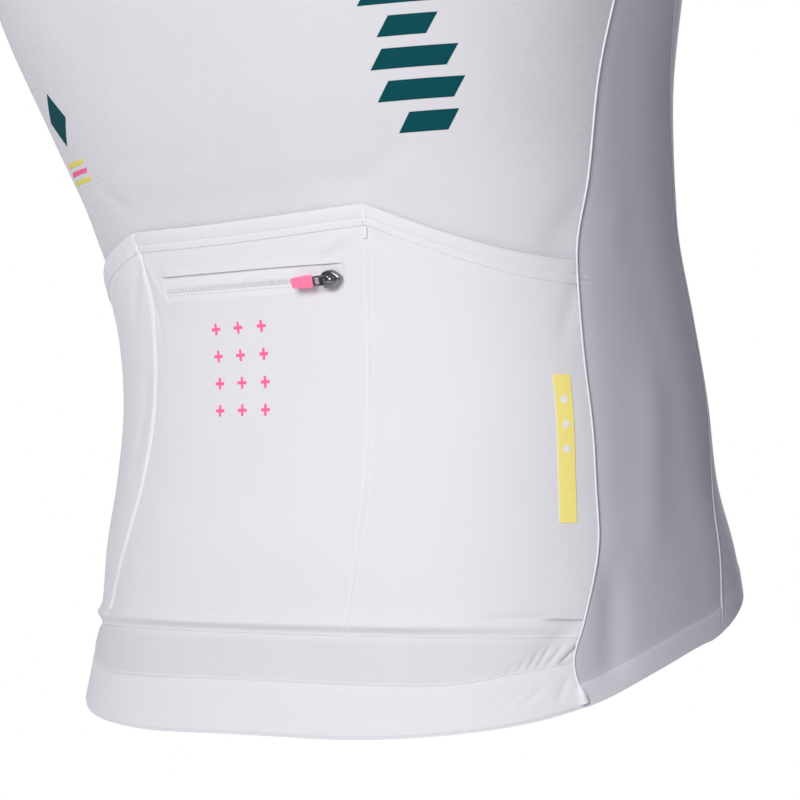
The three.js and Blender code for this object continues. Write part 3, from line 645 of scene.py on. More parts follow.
def quads(index):
    """Four-sided faces between the neighbours in a grid of indices."""
    return stacked(index[:-1, :-1], index[:-1, 1:], index[1:, 1:], index[1:, :-1]).reshape(-1, 4)


def shell_faces(rows, columns, closed):
    """Faces of a wall between an outer and an inner grid of points, the outer ones first."""
    index = np.arange(rows * columns).reshape(rows, columns)
    if closed:
        index = wrapped(index)
    inner = index + rows * columns
    faces = [
        quads(index),
        np.roll(quads(inner)[:, ::-1], 1, axis=1),
        quads(stacked(index[0], inner[0])),
        quads(stacked(index[-1], inner[-1]).T),
    ]
    if not closed:
        faces.append(quads(stacked(index[:, 0], inner[:, 0]).T))
        faces.append(quads(stacked(index[:, -1], inner[:, -1])))
    return np.concatenate(faces).tolist()


def shell(name, outer, inner, uv, finish, closed=False):
    """A thin wall of cloth from an outer and an inner grid of points."""
    points = np.concatenate([outer.reshape(-1, 3), inner.reshape(-1, 3)])
    faces = shell_faces(*outer.shape[:2], closed)
    a, b, c, d = outer[0, 0], outer[0, 1], outer[1, 0], inner[0, 0]
    if np.dot(np.cross(b - a, c - a), a - d) < 0:
        faces = [face[::-1] for face in faces]
    return new_piece(name, points, faces, finish, uv=np.concatenate([uv.reshape(-1, 2)] * 2))


def cloth_piece(node, outer, inner, uv, finish, closed=False):
    """A shell of cloth in a node's place, with the node hidden. A shell of cloth in a
    node's place; narrow trims aren't declared.
    """
    piece = shell(node + "_cloth", outer, inner, uv, finish, closed)
    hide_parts(node)
    return piece


def cloth(node, level, turn, depth, thick, finish):
    """A shell of cloth from grids of levels, turns and depths."""
    outer, inner = place(level, turn, depth), place(level, turn, depth - thick)
    return cloth_piece(node, outer, inner, stacked(arc_of(level, turn), level), finish)


def panel(node, columns, rows, level_of, edges, depth_of, finish, wall=WALL):
    """A panel between two edges that depend on the level, dipping a little into the seams beside it."""
    start, end = edges
    u, row = np.meshgrid(shares(*columns), rows)
    turn = np.zeros_like(u)
    for _ in range(PANEL_ROUNDS):
        level = level_of(row, turn)
        turn = lerp(start(level), end(level), u)
    level = level_of(row, turn)
    width = np.abs(arc_of(level, end(level)) - arc_of(level, start(level)))
    from_edge = np.minimum(u, 1 - u) * width
    depth = depth_of(level, turn) - SEAM_DIP * bell(from_edge, SEAM_DIP_WIDTH)
    thick = wall(level) if callable(wall) else wall
    return cloth(node, level, turn, depth, thick, finish)


def loft(name, rings, finish, body=JERSEY, closed=False, sharp_degrees=38):
    """A solid through rings of points, with flat ends or closed on itself."""
    count, sides = rings.shape[:2]
    index = wrapped(np.arange(count * sides).reshape(count, sides))
    if closed:
        index = np.concatenate([index, index[:1]])
    faces = quads(index).tolist()
    if not closed:
        faces += [index[0, :-1][::-1].tolist(), index[-1, :-1].tolist()]
    return new_piece(name, rings.reshape(-1, 3), faces, finish, body=body, sharp_degrees=sharp_degrees)


def tube(name, path, outs, radius, finish, wide=1.0, closed=False, body=JERSEY, sides=8):
    """A cord along a path of points, with the directions out of the cloth beside it."""
    if closed:
        along = np.roll(path, -1, axis=0) - np.roll(path, 1, axis=0)
    else:
        along = np.gradient(path, axis=0)
    aside = unit(np.cross(along, outs))
    outward = unit(np.cross(aside, along))
    angle = angles(sides)[None, :, None]
    size = np.broadcast_to(radius, len(path))[:, None, None]
    ring = np.cos(angle) * aside[:, None] * wide + np.sin(angle) * outward[:, None]
    return loft(name, path[:, None] + ring * size, finish, body, closed, sharp_degrees=50)


# Lozenges: two tips and two squares of corners between them
NEXT = (1, 2, 3, 0)
LOZENGE_FACES = np.array(
    [(0, 2 + j, 2 + i) for i, j in enumerate(NEXT)]
    + [(1, 6 + i, 6 + j) for i, j in enumerate(NEXT)]
    + [(2 + i, 2 + j, 6 + j) for i, j in enumerate(NEXT)]
    + [(2 + i, 6 + j, 6 + i) for i, j in enumerate(NEXT)]
)
LOZENGE_TAPER, LOZENGE_SINK = 0.22, 0.5


def lozenges(name, starts, ends, outs, radius, finish):
    """Small plump threads or teeth, each from a start to an end, half sunk in the cloth."""
    along = ends - starts
    aside = unit(np.cross(along, outs)) * radius
    raised = outs * radius
    near = starts + along * LOZENGE_TAPER
    far = ends - along * LOZENGE_TAPER
    corners = [aside, raised, -aside, -raised]
    tips = [starts - raised * LOZENGE_SINK, ends - raised * LOZENGE_SINK]
    points = np.stack(tips + [near + c for c in corners] + [far + c for c in corners], axis=1)
    first = np.arange(len(starts))[:, None, None] * points.shape[1]
    faces = (LOZENGE_FACES[None] + first).reshape(-1, 3).tolist()
    return new_piece(name, points.reshape(-1, 3), faces, finish, sharp_degrees=80)


def spaced(path, outs, pitch, length):
    """Starts, ends and outward directions of pieces of a length, laid along a path at a pitch."""
    run = np.concatenate([[0], np.cumsum(np.linalg.norm(np.diff(path, axis=0), axis=-1))])
    middles = np.arange(pitch / 2, run[-1] - pitch / 4, pitch)

    def at(distance, values):
        return stacked(*(np.interp(distance, run, values[:, axis]) for axis in range(3)))

    return at(middles - length / 2, path), at(middles + length / 2, path), unit(at(middles, outs))


def on_cloth(level, turn, depth):
    """A path of points over the cloth, with the directions out of it."""
    level, turn, depth = np.broadcast_arrays(np.asarray(level, float), turn, depth)
    return place(level, turn, depth), directions(level, turn)[2]


def line_on(depth_of, level, turn, lift=0.0):
    """A path over a layer of the cloth, raised by a lift."""
    return on_cloth(level, turn, depth_of(level, turn) + lift)


def stitched(name, lines, pitch=STITCH_PITCH, length=STITCH_LENGTH, radius=STITCH_RADIUS, finish=THREAD):
    """Rows of stitches along lines over the cloth."""
    laid = [spaced(path, outs, pitch, length) for path, outs in lines]
    starts, ends, outs = (np.concatenate(part) for part in zip(*laid))
    return lozenges(name, starts, ends, outs, radius, finish)


# Seams between the pockets and edges of the pieces
DIVISION_LEVELS = np.arange(40, 261, 3.0)


def division(column):
    """The turn of the seam between two pockets, by level."""
    arcs = curve(DIVISION_COLUMNS, DIVISIONS, "level", column)(DIVISION_LEVELS)
    turns = turn_at(DIVISION_LEVELS, arcs)
    return lambda level: np.interp(level, DIVISION_LEVELS, turns)


def mirrored(edge):
    return lambda level: -edge(level)


def beside(edge, gap):
    return lambda level: edge(level) + gap


def up_to_neck(seam, armhole, gap):
    """A panel's edge up its side seam, round the armhole and along the shoulder, a gap away from them."""

    def edge(level):
        hole = armhole(np.clip(level, UNDERARM, SHOULDER_TIP))
        above = np.where(level < SHOULDER_TIP, hole, SHOULDER_TURN + gap)
        return np.where(level < UNDERARM, seam(level) + gap, above)

    return edge


def zip_edge(level):
    return turn_at_x(level, ZIP_OPENING)


left_division, right_division = division("left"), division("right")
back_edge = up_to_neck(side_behind, armhole_behind, -HALF_GAP_TURN)
front_edge = up_to_neck(side_before, armhole_before, HALF_GAP_TURN)
pockets_end = beside(side_behind, -HALF_GAP_TURN)
side_edges = (beside(side_behind, HALF_GAP_TURN), beside(side_before, -HALF_GAP_TURN))
POCKETS = {
    "left": (mirrored(pockets_end), beside(left_division, -HALF_GAP_TURN)),
    "centre": (beside(left_division, HALF_GAP_TURN), beside(right_division, -HALF_GAP_TURN)),
    "right": (beside(right_division, HALF_GAP_TURN), pockets_end),
}


def on_side(sign, edges):
    """Edges of a panel of the wearer's right, or of its mirror image on the left."""
    start, end = edges
    return edges if sign > 0 else (mirrored(end), mirrored(start))


# Depths of the layers, with the soft folds that the worn cloth has
FOLD_STARTS, FOLD_ENDS = (-0.15, 0.25), (0.6, 1.15)


def folds(rows, level, arc):
    """The height of soft ridges and troughs that run between two points on the cloth."""
    total = np.zeros(np.broadcast(level, arc).shape)
    for arc_a, level_a, arc_b, level_b, width, height in rows:
        run = np.array([arc_b - arc_a, level_b - level_a], float)
        length = np.hypot(*run)
        along = ((arc - arc_a) * run[0] + (level - level_a) * run[1]) / length**2
        aside = ((arc - arc_a) * run[1] - (level - level_a) * run[0]) / length
        fade = smooth_step(along, *FOLD_STARTS) * (1 - smooth_step(along, *FOLD_ENDS))
        total += height * bell(aside, width) * fade
    return total


def held(level, turn, edge):
    """Nought at a panel's sewn edge, where its folds die out, and one away from it."""
    from_edge = np.abs(arc_of(level, edge(level)) - arc_of(level, np.abs(turn)))
    return smooth_step(from_edge, 0, FOLD_CLEAR)


def back_depth(level, turn):
    top = pocket_top(turn)
    above = lerp(BACK_UNDER_POCKET, 0, smooth_step(level, top, top + BACK_RISE))
    below = lerp(BACK_BELOW_POCKET, BACK_UNDER_POCKET, smooth_step(level, *BACK_SINK))
    flat = np.where(level > top, above, below)
    arc = arc_of(level, turn)
    free = np.maximum(held(level, turn, back_edge), 1 - smooth_step(level, *ARMHOLE_NEARS))
    return flat + free * folds(BACK_FOLDS, level, arc) + folds(BAND_FOLDS, level, arc)


def band_depth(level, turn):
    """The band lies flat, rolled in at its lower edge."""
    rolled = BAND_ROLL * bell(level - hem(turn), ROLLED_WIDTH)
    return rolled + folds(GRIPPER_FOLDS, level, arc_of(level, turn))


def depth_on(name):
    """The depth of a pocket's outer surface."""
    start, end = POCKETS[name]

    def depth(level, turn):
        share = np.clip((turn - start(level)) / (end(level) - start(level)), 0, 1)
        arc = arc_of(level, turn)
        flattened = 1 - ROLL_FLATTENED * smooth_step(arc, *ROLL_FLATTENS)
        roll = ROLL_RISE * flattened * bell(level - ROLL_LEVEL, ROLL_WIDTH)
        full = POCKET_EDGE_DEPTH + POCKET_PUFF * puffed(share) + roll + folds(POCKET_FOLDS, level, arc)
        return folds(BAND_FOLDS, level, arc) + lerp(FOOT_DEPTH, full, smooth_step(level, *FOOT_JOINS))

    return depth


def pocket_wall(level):
    """The pocket's wall, thinned at its foot, where it is sewn flat to the back."""
    return lerp(FOOT_WALL, POCKET_WALL, smooth_step(level, *FOOT_JOINS))


on_left, on_centre, on_right = (depth_on(name) for name in POCKETS)


def zip_window(level, turn):
    """One inside the zip's window, falling to nought over its rim."""
    half = (ZIP_RIGHT - ZIP_LEFT) / 2
    aside = np.abs(arc_of(level, turn) - ZIP_LEFT - half) - half + ZIP_CORNER
    across = level + ZIP_FALL * turn - ZIP_MIDDLE
    away = np.abs(across) - ZIP_HALF_HEIGHT + ZIP_CORNER
    beyond = np.hypot(np.maximum(aside, 0), np.maximum(away, 0)) - ZIP_CORNER
    return 1 - smooth_step(beyond, *ZIP_RIM_EDGE)


def windowed(level, turn):
    """The middle pocket, sunk inside the window and raised in a fine rim round it."""
    inside = zip_window(level, turn)
    rim = 4 * inside * (1 - inside)
    return on_centre(level, turn) - ZIP_RECESS * inside + ZIP_RIM * rim


def binding_profile(below_top):
    """The height over the pocket of a folded binding: a padded edge, the seam's groove and a thin tail."""
    padded = puffed(np.clip(below_top / BINDING_SEAM, 0, 1))
    tail = np.clip((below_top - BINDING_SEAM) / (BINDING_WIDTH - BINDING_SEAM), 0, 1)
    return BINDING_BASE + (BINDING_LIFT - BINDING_BASE) * padded + BINDING_TAIL * puffed(tail)


def turned_hem(level, turn):
    """The rise of a turned hem's double cloth."""
    fold = hem(turn) + HEM_WIDTH
    return HEM_RISE * (1 - smooth_step(level, fold - HEM_STEP, fold + HEM_STEP))


def side_depth(level, turn):
    arc = arc_of(level, turn)
    from_seam = np.abs(arc) - arc_of(level, side_behind(level))
    sunk = SIDE_SINK * bell(from_seam, SIDE_SINK_WIDTH) * smooth_step(level, *SIDE_SINK_STARTS)
    return turned_hem(level, turn) + sunk + folds(SIDE_FOLDS, level, arc)


def front_depth(level, turn):
    creased = held(level, turn, front_edge) * folds(FRONT_FOLDS, level, arc_of(level, turn))
    return turned_hem(level, turn) + creased


def collar_depth(level, turn):
    """The collar stands straight, rolled in at its upper edge."""
    return EDGE_ROLL * bell(COLLAR_TOP - level, ROLLED_WIDTH) + 0 * turn


# Back and its band
LOWEST_BACK, BACK_SETTLES = 31, 57
BACK_ROWS = steps((LOWEST_BACK, 62, 44), (62, 200, 14), (200, 300, 50), (300, NECK, 110))


def back_level(row, turn):
    """Levels that settle onto the band's sloping seam."""
    share = np.clip((BACK_SETTLES - row) / (BACK_SETTLES - LOWEST_BACK), 0, 1)
    return row + share * (band_seam(turn) - LOWEST_BACK)


def band_level(share, turn):
    return lerp(hem(turn), band_seam(turn) - 0.2, share)


panel("back_panel", (171, 0.6), BACK_ROWS, back_level, (mirrored(back_edge), back_edge), back_depth, RIB)
band_rows = steps((0, 0.12, 5), (0.12, 1, 18))
band_edges = (mirrored(pockets_end), pockets_end)
panel("hem_band", (220, 0.5), band_rows, band_level, band_edges, band_depth, BAND, BAND_WALL)

# Pockets and their bindings: points across and rows of each pocket
POCKET_SPREAD_FROM, POCKET_HIGHEST = 190, 240
ABOVE_FOOT, TO_TOP = (66, 75, 6), (POCKET_SPREAD_FROM, POCKET_HIGHEST, 32)
ZIP_RUNS = ((75, 198, 46), (198, 222, 44), (222, POCKET_HIGHEST, 10))
POCKET_GRIDS = [
    ("left", 105, steps((POCKET_FOOT, 66, 26), ABOVE_FOOT, (75, POCKET_SPREAD_FROM, 50), TO_TOP)),
    ("centre", 171, steps((POCKET_FOOT, 66, 26), ABOVE_FOOT, *ZIP_RUNS)),
    ("right", 105, steps((POCKET_FOOT, 66, 40), ABOVE_FOOT, (75, POCKET_SPREAD_FROM, 50), TO_TOP)),
]
BINDING_ROWS = steps((BINDING_WIDTH, BINDING_SEAM, 9), (BINDING_SEAM, 0, 14))
BINDING_LINE_LEVEL = 230


def pocket_level(row, turn):
    """Levels that are even low down and spread up to the pocket's sloping top."""
    share = (row - POCKET_SPREAD_FROM) / (POCKET_HIGHEST - POCKET_SPREAD_FROM)
    return np.where(row < POCKET_SPREAD_FROM, row, lerp(POCKET_SPREAD_FROM, pocket_top(turn), share))


def binding_level(below_top, turn):
    return pocket_top(turn) - below_top


def pocket(name, count, rows):
    """A pocket with its folded binding and the binding's two rows of stitches."""
    columns, edges, on_pocket = (count, 0.4), POCKETS[name], depth_on(name)
    shape = windowed if name == "centre" else on_pocket

    def bound(level, turn):
        return on_pocket(level, turn) + binding_profile(pocket_top(turn) - level)

    panel("pocket_" + name, columns, rows, pocket_level, edges, shape, SMOOTH, pocket_wall)
    binding = "pocket_binding_" + name
    panel(binding, columns, BINDING_ROWS, binding_level, edges, bound, SMOOTH, BINDING_WALL)
    start, end = (edge(BINDING_LINE_LEVEL) for edge in edges)
    turns = lerp(start, end, np.linspace(0.01, 0.99, 160))
    lines = [line_on(bound, pocket_top(turns) - down, turns) for down in BINDING_LINES]
    stitched("binding_stitches_" + name, lines)


for pocket_name, column_count, pocket_rows in POCKET_GRIDS:
    pocket(pocket_name, column_count, pocket_rows)

# Side panels and fronts, each with a turned hem that looks paler for its double cloth; all of them carry
# painted shade, coloured greyer than the white back for the side that faces away from the key lamp
TURNED_ROWS = 8


def hemmed(node, count, row_count, top, edges, depth_of, finish):
    """A panel with a turned hem, its rows from minus the hem's width to nought, and on to the top at one."""

    def level_of(row, turn):
        fold = hem(turn) + HEM_WIDTH
        return np.where(row < 0, fold + row, lerp(fold, top, np.maximum(row, 0)))

    rows = steps((-HEM_WIDTH, 0, TURNED_ROWS), (0, 1, row_count))
    piece = panel(node, (count, 0.4), rows, level_of, edges, depth_of, finish)
    piece.data.materials.append(SIDE_HEM_PAINTED_SHADE[0])
    for polygon in piece.data.polygons[: TURNED_ROWS * (count - 1)]:
        polygon.material_index = 1


for side_name, sign in SIDES:
    hemmed("side_panel_" + side_name, 48, 180, UNDERARM, on_side(sign, side_edges), side_depth, SIDE_KNIT_GREY_AND_PAINTED_SHADE)
    front_edges = on_side(sign, (front_edge, zip_edge))
    hemmed("front_" + side_name, 80, 170, NECK, front_edges, front_depth, FRONT_KNIT_PAINTED_SHADE)


def plain_level(row, turn):
    return row + 0 * turn


collar_rows = steps((NECK + 0.2, COLLAR_TOP - 3, 14), (COLLAR_TOP - 3, COLLAR_TOP, 8))
collar_edges = (mirrored(zip_edge), zip_edge)
panel("collar", (180, 0.3), collar_rows, plain_level, collar_edges, collar_depth, RIB, BAND_WALL)


# Sleeves
def armhole_line(count):
    """The armhole's edge as levels and turns, from its top down the back and up the front."""
    angle = np.linspace(0, 2 * np.pi, count, endpoint=False)
    level = lerp(UNDERARM, SHOULDER_TIP, (1 + np.cos(angle)) / 2)
    turn = np.where(angle < np.pi, armhole_behind(level), armhole_before(level))
    lowest = np.abs(angle - np.pi) < 1e-6
    return angle, level, np.where(lowest, (armhole_behind(level) + armhole_before(level)) / 2, turn)


def drawn_in(rings, by):
    """Rings of points drawn in towards their middles."""
    middle = rings.mean(axis=1, keepdims=True)
    return rings + unit(middle - rings) * np.asarray(by)[..., None]


def sleeve(name, sign):
    out, forward = math.radians(SLEEVE_OUT_DEGREES), math.radians(SLEEVE_FORWARD_DEGREES)
    flat = math.cos(forward)
    arm = np.array([-sign * math.sin(out) * flat, -math.sin(forward), -math.cos(out) * flat])
    upright = unit(np.array([0, 0, 1]) - arm * arm[2])
    rearward = np.cross(arm, upright) * sign
    leave = np.array([-sign, 0, 0], float)
    angle, hole_level, hole_turn = armhole_line(SLEEVE_SIDES)
    hole = skin(hole_level, sign * hole_turn)
    _, source_level, source_turn = armhole_line(SLEEVE_SOURCE_SIDES)
    cuff_middle = skin(source_level, sign * source_turn).mean(axis=0) + arm * SLEEVE_REACH
    ring = np.cos(angle)[:, None] * upright + np.sin(angle)[:, None] * rearward
    around = np.degrees(angle)

    t = np.linspace(0, 1, 64)[:, None, None]
    start = hole[None] + leave * SEAM_GAP
    finish = (cuff_middle + ring * CUFF_RADIUS)[None]
    rings = (
        start * (1 + 2 * t) * (1 - t) ** 2
        + leave * SLEEVE_LEAVES * t * (1 - t) ** 2
        + finish * t * t * (3 - 2 * t)
        - arm * SLEEVE_ARRIVES * t * t * (1 - t)
    )
    uv = stacked(around, t[..., 0] * SLEEVE_REACH)
    free = smooth_step(uv[..., 1], 0, FOLD_CLEAR)
    rings = drawn_in(rings, -free * folds(SLEEVE_FOLDS, uv[..., 1], uv[..., 0]))
    cloth_piece("sleeve_" + name, rings, drawn_in(rings, WALL), uv, RIB, closed=True)

    s = np.linspace(0, 1, 20)[:, None, None]
    rolled = EDGE_ROLL * bell((1 - s) * CUFF_WIDTH, ROLLED_WIDTH)
    radius = lerp(CUFF_RADIUS + CUFF_LIFT, CUFF_RADIUS - CUFF_TAPER, s) + rolled
    band = cuff_middle + arm * lerp(0.2, CUFF_WIDTH, s) + ring[None] * radius
    uv = stacked(around, s[..., 0] * CUFF_WIDTH)
    cloth_piece("cuff_" + name, band, drawn_in(band, BAND_WALL), uv, BAND, closed=True)

    outs = directions(hole_level, sign * hole_turn)[2]
    tube("armhole_seam_" + name, hole, outs, ARMHOLE_SEAM_RADIUS, SEAM, closed=True)
    whole = np.append(ring, ring[:1], axis=0)
    raised = cuff_middle + whole * (CUFF_RADIUS + CUFF_STITCH_LIFT)
    stitched("cuff_stitches_" + name, [(raised + arm * reach, whole) for reach in CUFF_STITCH_REACHES])


for side_name, sign in SIDES:
    sleeve(side_name, sign)


# Zip of the middle pocket
def along_zip(arcs, across):
    """Levels and turns of a grid along the pocket's zip, by arc and by distance up from its middle line."""
    arc, up = np.meshgrid(arcs, across)
    turn = turn_at(ZIP_MIDDLE + up, arc)
    return ZIP_MIDDLE + up - ZIP_FALL * turn, turn, arc, up


def zip_line(arcs, across, lift):
    """A path along the pocket's zip, at a distance up from its middle line."""
    level, turn, _, _ = along_zip(arcs, [across])
    return line_on(on_centre, level[0], turn[0], lift)


def chain(name, node, line, half, radius):
    """Two rows of teeth that meet along the middle of a zip."""
    starts, ends, outs = spaced(*line, TOOTH_PITCH, TOOTH_PITCH / 2)
    middle = (starts + ends) / 2
    hand = np.where(np.arange(len(middle)) % 2, 1.0, -1.0)[:, None]
    aside = unit(np.cross(ends - starts, outs)) * hand * half
    piece = lozenges(name, middle - aside * 0.25, middle + aside, outs, radius, COIL)
    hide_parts(node)


tape_half = ZIP_HALF_HEIGHT - TAPE_INSET
tape_arcs = np.linspace(ZIP_LEFT + TAPE_INSET, ZIP_RIGHT - TAPE_INSET, 100)
level, turn, _, _ = along_zip(tape_arcs, np.linspace(-tape_half, tape_half, 20))
cloth("pocket_zip_tape", level, turn, on_centre(level, turn) + TAPE_DEPTH, TAPE_WALL, TAPE)

level, turn, arc, up = along_zip(np.linspace(ZIP_LEFT, ZIP_RIGHT, 100), np.linspace(LIP_LOW, LIP_HIGH, 14))
lip = lerp(0.2, 0.85, (LIP_HIGH - up) / (LIP_HIGH - LIP_LOW)) * smooth_step(arc, ZIP_LEFT - 1, ZIP_LEFT + 6)
lip = lip * (1 - smooth_step(arc, ZIP_RIGHT - 8, ZIP_RIGHT + 1)) + LIP_LIFT
cloth("pocket_zip_lip", level, turn, on_centre(level, turn) + lip, LIP_WALL, SMOOTH)

chain_path = zip_line(np.linspace(ZIP_LEFT + 1, ZIP_RIGHT - 1, 160), CHAIN_LINE, CHAIN_LIFT)
chain("pocket_zip_teeth", "pocket_zip_coil", chain_path, half=1.5, radius=0.42)
stitch_arcs = np.linspace(ZIP_LEFT + 1, STITCH_LINE_END, 120)
stitch_path = zip_line(stitch_arcs, STITCH_LINE, STITCH_LINE_DEPTH)
# These stitches are coloured grey, a painted shade for the shadows between them.
stitched("pocket_zip_stitches", [stitch_path], pitch=2.4, length=1.2, radius=0.18, finish=PAINTED_SHADE_THREAD)


# Reflective strip
def strip_arc(level):
    return lerp(STRIP_FOOT_ARC, STRIP_TOP_ARC, (level - STRIP_FOOT) / (STRIP_TOP - STRIP_FOOT))


level, share = np.meshgrid(np.linspace(STRIP_FOOT, STRIP_TOP, 40), np.linspace(-1, 1, 8), indexing="ij")
turn = turn_at(level, strip_arc(level) + share * STRIP_HALF)
cloth("reflective_strip", level, turn, on_right(level, turn) + STRIP_LIFT, STRIP_WALL, FILM)

# Front zip
front_levels = np.linspace(hem(FRONT_TURN) + 0.3, COLLAR_TOP - 0.5, 200)
edge_levels = np.linspace(hem(FRONT_TURN) + 2, COLLAR_TOP - 2, 260)
for side_name, sign in SIDES:
    level, across = np.meshgrid(front_levels, np.linspace(*FRONT_TAPE_EDGES, 8), indexing="ij")
    depth = np.full(level.shape, float(FRONT_TAPE_DEPTH))
    cloth("zip_tape_" + side_name, level, sign * turn_at_x(level, across), depth, FRONT_TAPE_WALL, TAPE)
    edge_turns = sign * turn_at_x(edge_levels, ZIP_OPENING + 2)
    edge_depths = np.where(edge_levels < NECK, front_depth(edge_levels, edge_turns), 0)
    edge_line = on_cloth(edge_levels, edge_turns, edge_depths)
    stitched("zip_stitches_" + side_name, [edge_line], pitch=3, length=2.5)
chain("zip_teeth", "zip_coil", on_cloth(front_levels, FRONT_TURN - 0.001, -1.0), half=2, radius=0.6)


# Sliders and pulls
def superellipse(angle, half_x, half_y, power):
    x = half_x * signed_power(np.cos(angle), 2 / power)
    return x, half_y * signed_power(np.sin(angle), 2 / power)


SLIDER_DOME = [(0.5, 1), (0.85, 0.97), (1.1, 0.88), (1.25, 0.7), (1.33, 0.4), (SLIDER_TOP, 0.1)]


def slider(prefix, seen, axes, foot):
    """A domed slider, by heights and scales of its outline, with its crown."""
    x, y = superellipse(angles(48), SLIDER_HALF, SLIDER_END, SLIDER_POWER)
    x = x * (1 - SLIDER_NARROWS * smooth_step(y, 0, SLIDER_END))
    rows = [(foot, 0.9), (foot + 0.3, 1)] + SLIDER_DOME
    rings = np.stack([stacked(x * scale, y * scale, height) for height, scale in rows])
    piece = loft(prefix + "_slider_body", seen(rings), METAL)
    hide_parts(prefix + "_slider")

    half = CROWN_THICK / 2
    arch_y, arch_z = superellipse(np.linspace(0, np.pi, 25), CROWN_REACH, CROWN_TOP - half - CROWN_FOOT, 3)
    arch = stacked(0, arch_y, arch_z)
    crown = arch + [0, 0, CROWN_FOOT]
    tube(prefix + "_slider_crown", seen(crown), arch @ axes, half, METAL, wide=CROWN_HALF / half, sides=12)


def pull(prefix, seen, out, body):
    """A wire frame that hangs on the crown, with two bars across it."""
    angle = np.linspace(0, 2 * np.pi, 60, endpoint=False)
    x, y = superellipse(angle, PULL_HALF - PULL_WIRE, PULL_LENGTH / 2, 4)
    loop = stacked(x, y - PULL_LENGTH / 2, HINGE_HEIGHT)
    outs = np.broadcast_to(out, loop.shape)
    piece = tube(prefix + "_pull_frame", seen(loop), outs, PULL_WIRE, METAL, closed=True, body=body, sides=10)
    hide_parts(prefix + "_pull")
    for bar_name, bar_y in PULL_BARS:
        bar = stacked(np.linspace(-BAR_HALF, BAR_HALF, 5), bar_y, HINGE_HEIGHT)
        outs = np.broadcast_to(out, bar.shape)
        tube(prefix + "_pull_" + bar_name, seen(bar), outs, PULL_WIRE, METAL, body=body, sides=10)


def tab(prefix, seen, finish, body):
    """A moulded tab that tapers towards the pull, ribbed for the fingers."""
    share = np.linspace(-1, 1, 29)
    full = np.maximum(1 - np.abs(share) ** 7, 0.0) ** 0.45
    grip = 1 + TAB_GRIP * np.cos(share * 3.5 * np.pi) * (np.abs(share) < TAB_GRIP_REACH)
    rings = []
    for s, fullness, rib in zip(share, full, grip):
        half = TAB_HALF * (1 - TAB_TAPER * (1 - s) / 2)
        x, z = superellipse(angles(32), half * (0.55 + 0.45 * fullness), TAB_THICK / 2 * 0.9, 4)
        z = z * (0.35 + 0.65 * fullness) * rib
        rings.append(stacked(x, -TAB_START - TAB_LENGTH / 2 * (1 - s), z + HINGE_HEIGHT))
    piece = loft(prefix + "_tab_rubber", seen(np.stack(rings)), finish, body)
    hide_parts(prefix + "_tab")


def zip_head(prefix, body, level, turn, depth, across_zip, foot, rubber):
    """A slider on the cloth, and a pull with its tab that lies back from the way the zip closes."""
    right, up, out = directions(np.float64(level), np.float64(turn))
    travel = right if across_zip else up
    centre = place(level, turn, depth)
    axes = np.stack([unit(np.cross(travel, out)), travel, out])

    def seen(local):
        return centre + local @ axes

    slider(prefix, seen, axes, foot)
    pull(prefix, seen, out, body)
    tab(prefix, seen, rubber, body)


slider_turn = float(turn_at(CAD_COIL_LEVEL, SLIDER_ARC))
slider_level = CAD_COIL_LEVEL - ZIP_FALL * slider_turn
slider_depth = float(on_centre(slider_level, slider_turn)) + CAD_COIL_LIFT + SLIDER_CLEAR
zip_head("pocket_zip", POCKET_PULL, slider_level, slider_turn, slider_depth, True, -1.9, PINK)
collar_slider = COLLAR_TOP - FRONT_SLIDER_BELOW_TOP
zip_head("zip", FRONT_PULL, collar_slider, FRONT_TURN, SLIDER_CLEAR, False, -0.7, WHITE_RUBBER)


# Seams, as fine corded ridges
SEAM_UNEVENNESS = 0.07
SEAM_BEHIND_FROM, SEAM_BEFORE_FROM, SEAM_BEFORE_LIFT = 24, 55.5, 0.05
HEM_BUMP_LEVEL, HEM_BUMP_WIDTH, HEM_BUMP = 64, 3, 0.6
POCKET_SEAMS_FROM, POCKET_SEAMS_TO = 61, 239
LEFT_SEAM_ASIDES, LEFT_SEAM_LIFT, LEFT_SEAM_RADIUS = (("left", -0.7), ("right", 0.6)), 0.1, 0.62
RIGHT_SEAM_DEPTH, RIGHT_SEAM_RADIUS = -0.2, 0.32
BAND_RIDGE_DEPTH = -0.4


def seam(name, level, turn, depth=0.0, radius=SEAM_RADIUS, finish=SEAM):
    path, outs = on_cloth(level, turn, depth)
    uneven = 1 + SEAM_UNEVENNESS * np.sin(np.arange(len(path)) * 0.9) * np.sin(np.arange(len(path)) * 0.23)
    tube(name, path, outs, radius * uneven, finish)


for side_name, sign in SIDES:
    levels = np.linspace(SEAM_BEHIND_FROM, UNDERARM, 330)
    below_corner = 1 - smooth_step(levels, CORNER_LEVEL - 3, CORNER_LEVEL + 2)
    radii = SEAM_RADIUS * (1 + CORNER_BUMPS[side_name] * below_corner)
    seam("side_seam_behind_" + side_name, levels, sign * side_behind(levels), radius=radii)
    levels = np.linspace(SEAM_BEFORE_FROM, UNDERARM, 300)
    radii = SEAM_RADIUS * (1 + HEM_BUMP * bell(levels - HEM_BUMP_LEVEL, HEM_BUMP_WIDTH))
    turns = sign * side_before(levels)
    # The seam before the side panel takes the grey thread, a painted shade.
    seam("side_seam_before_" + side_name, levels, turns, SEAM_BEFORE_LIFT, radii, SIDE_SEAM_PAINTED_SHADE)
    levels = np.linspace(SHOULDER_TIP, NECK, 60)
    seam("shoulder_seam_" + side_name, levels, np.full(60, sign * float(SHOULDER_TURN)))
collar_turns = np.linspace(-178, 178, 300)
seam("collar_seam", np.full(300, float(NECK)), collar_turns)
levels = np.linspace(POCKET_SEAMS_FROM, POCKET_SEAMS_TO, 150)
left_arcs = arc_of(levels, left_division(levels))
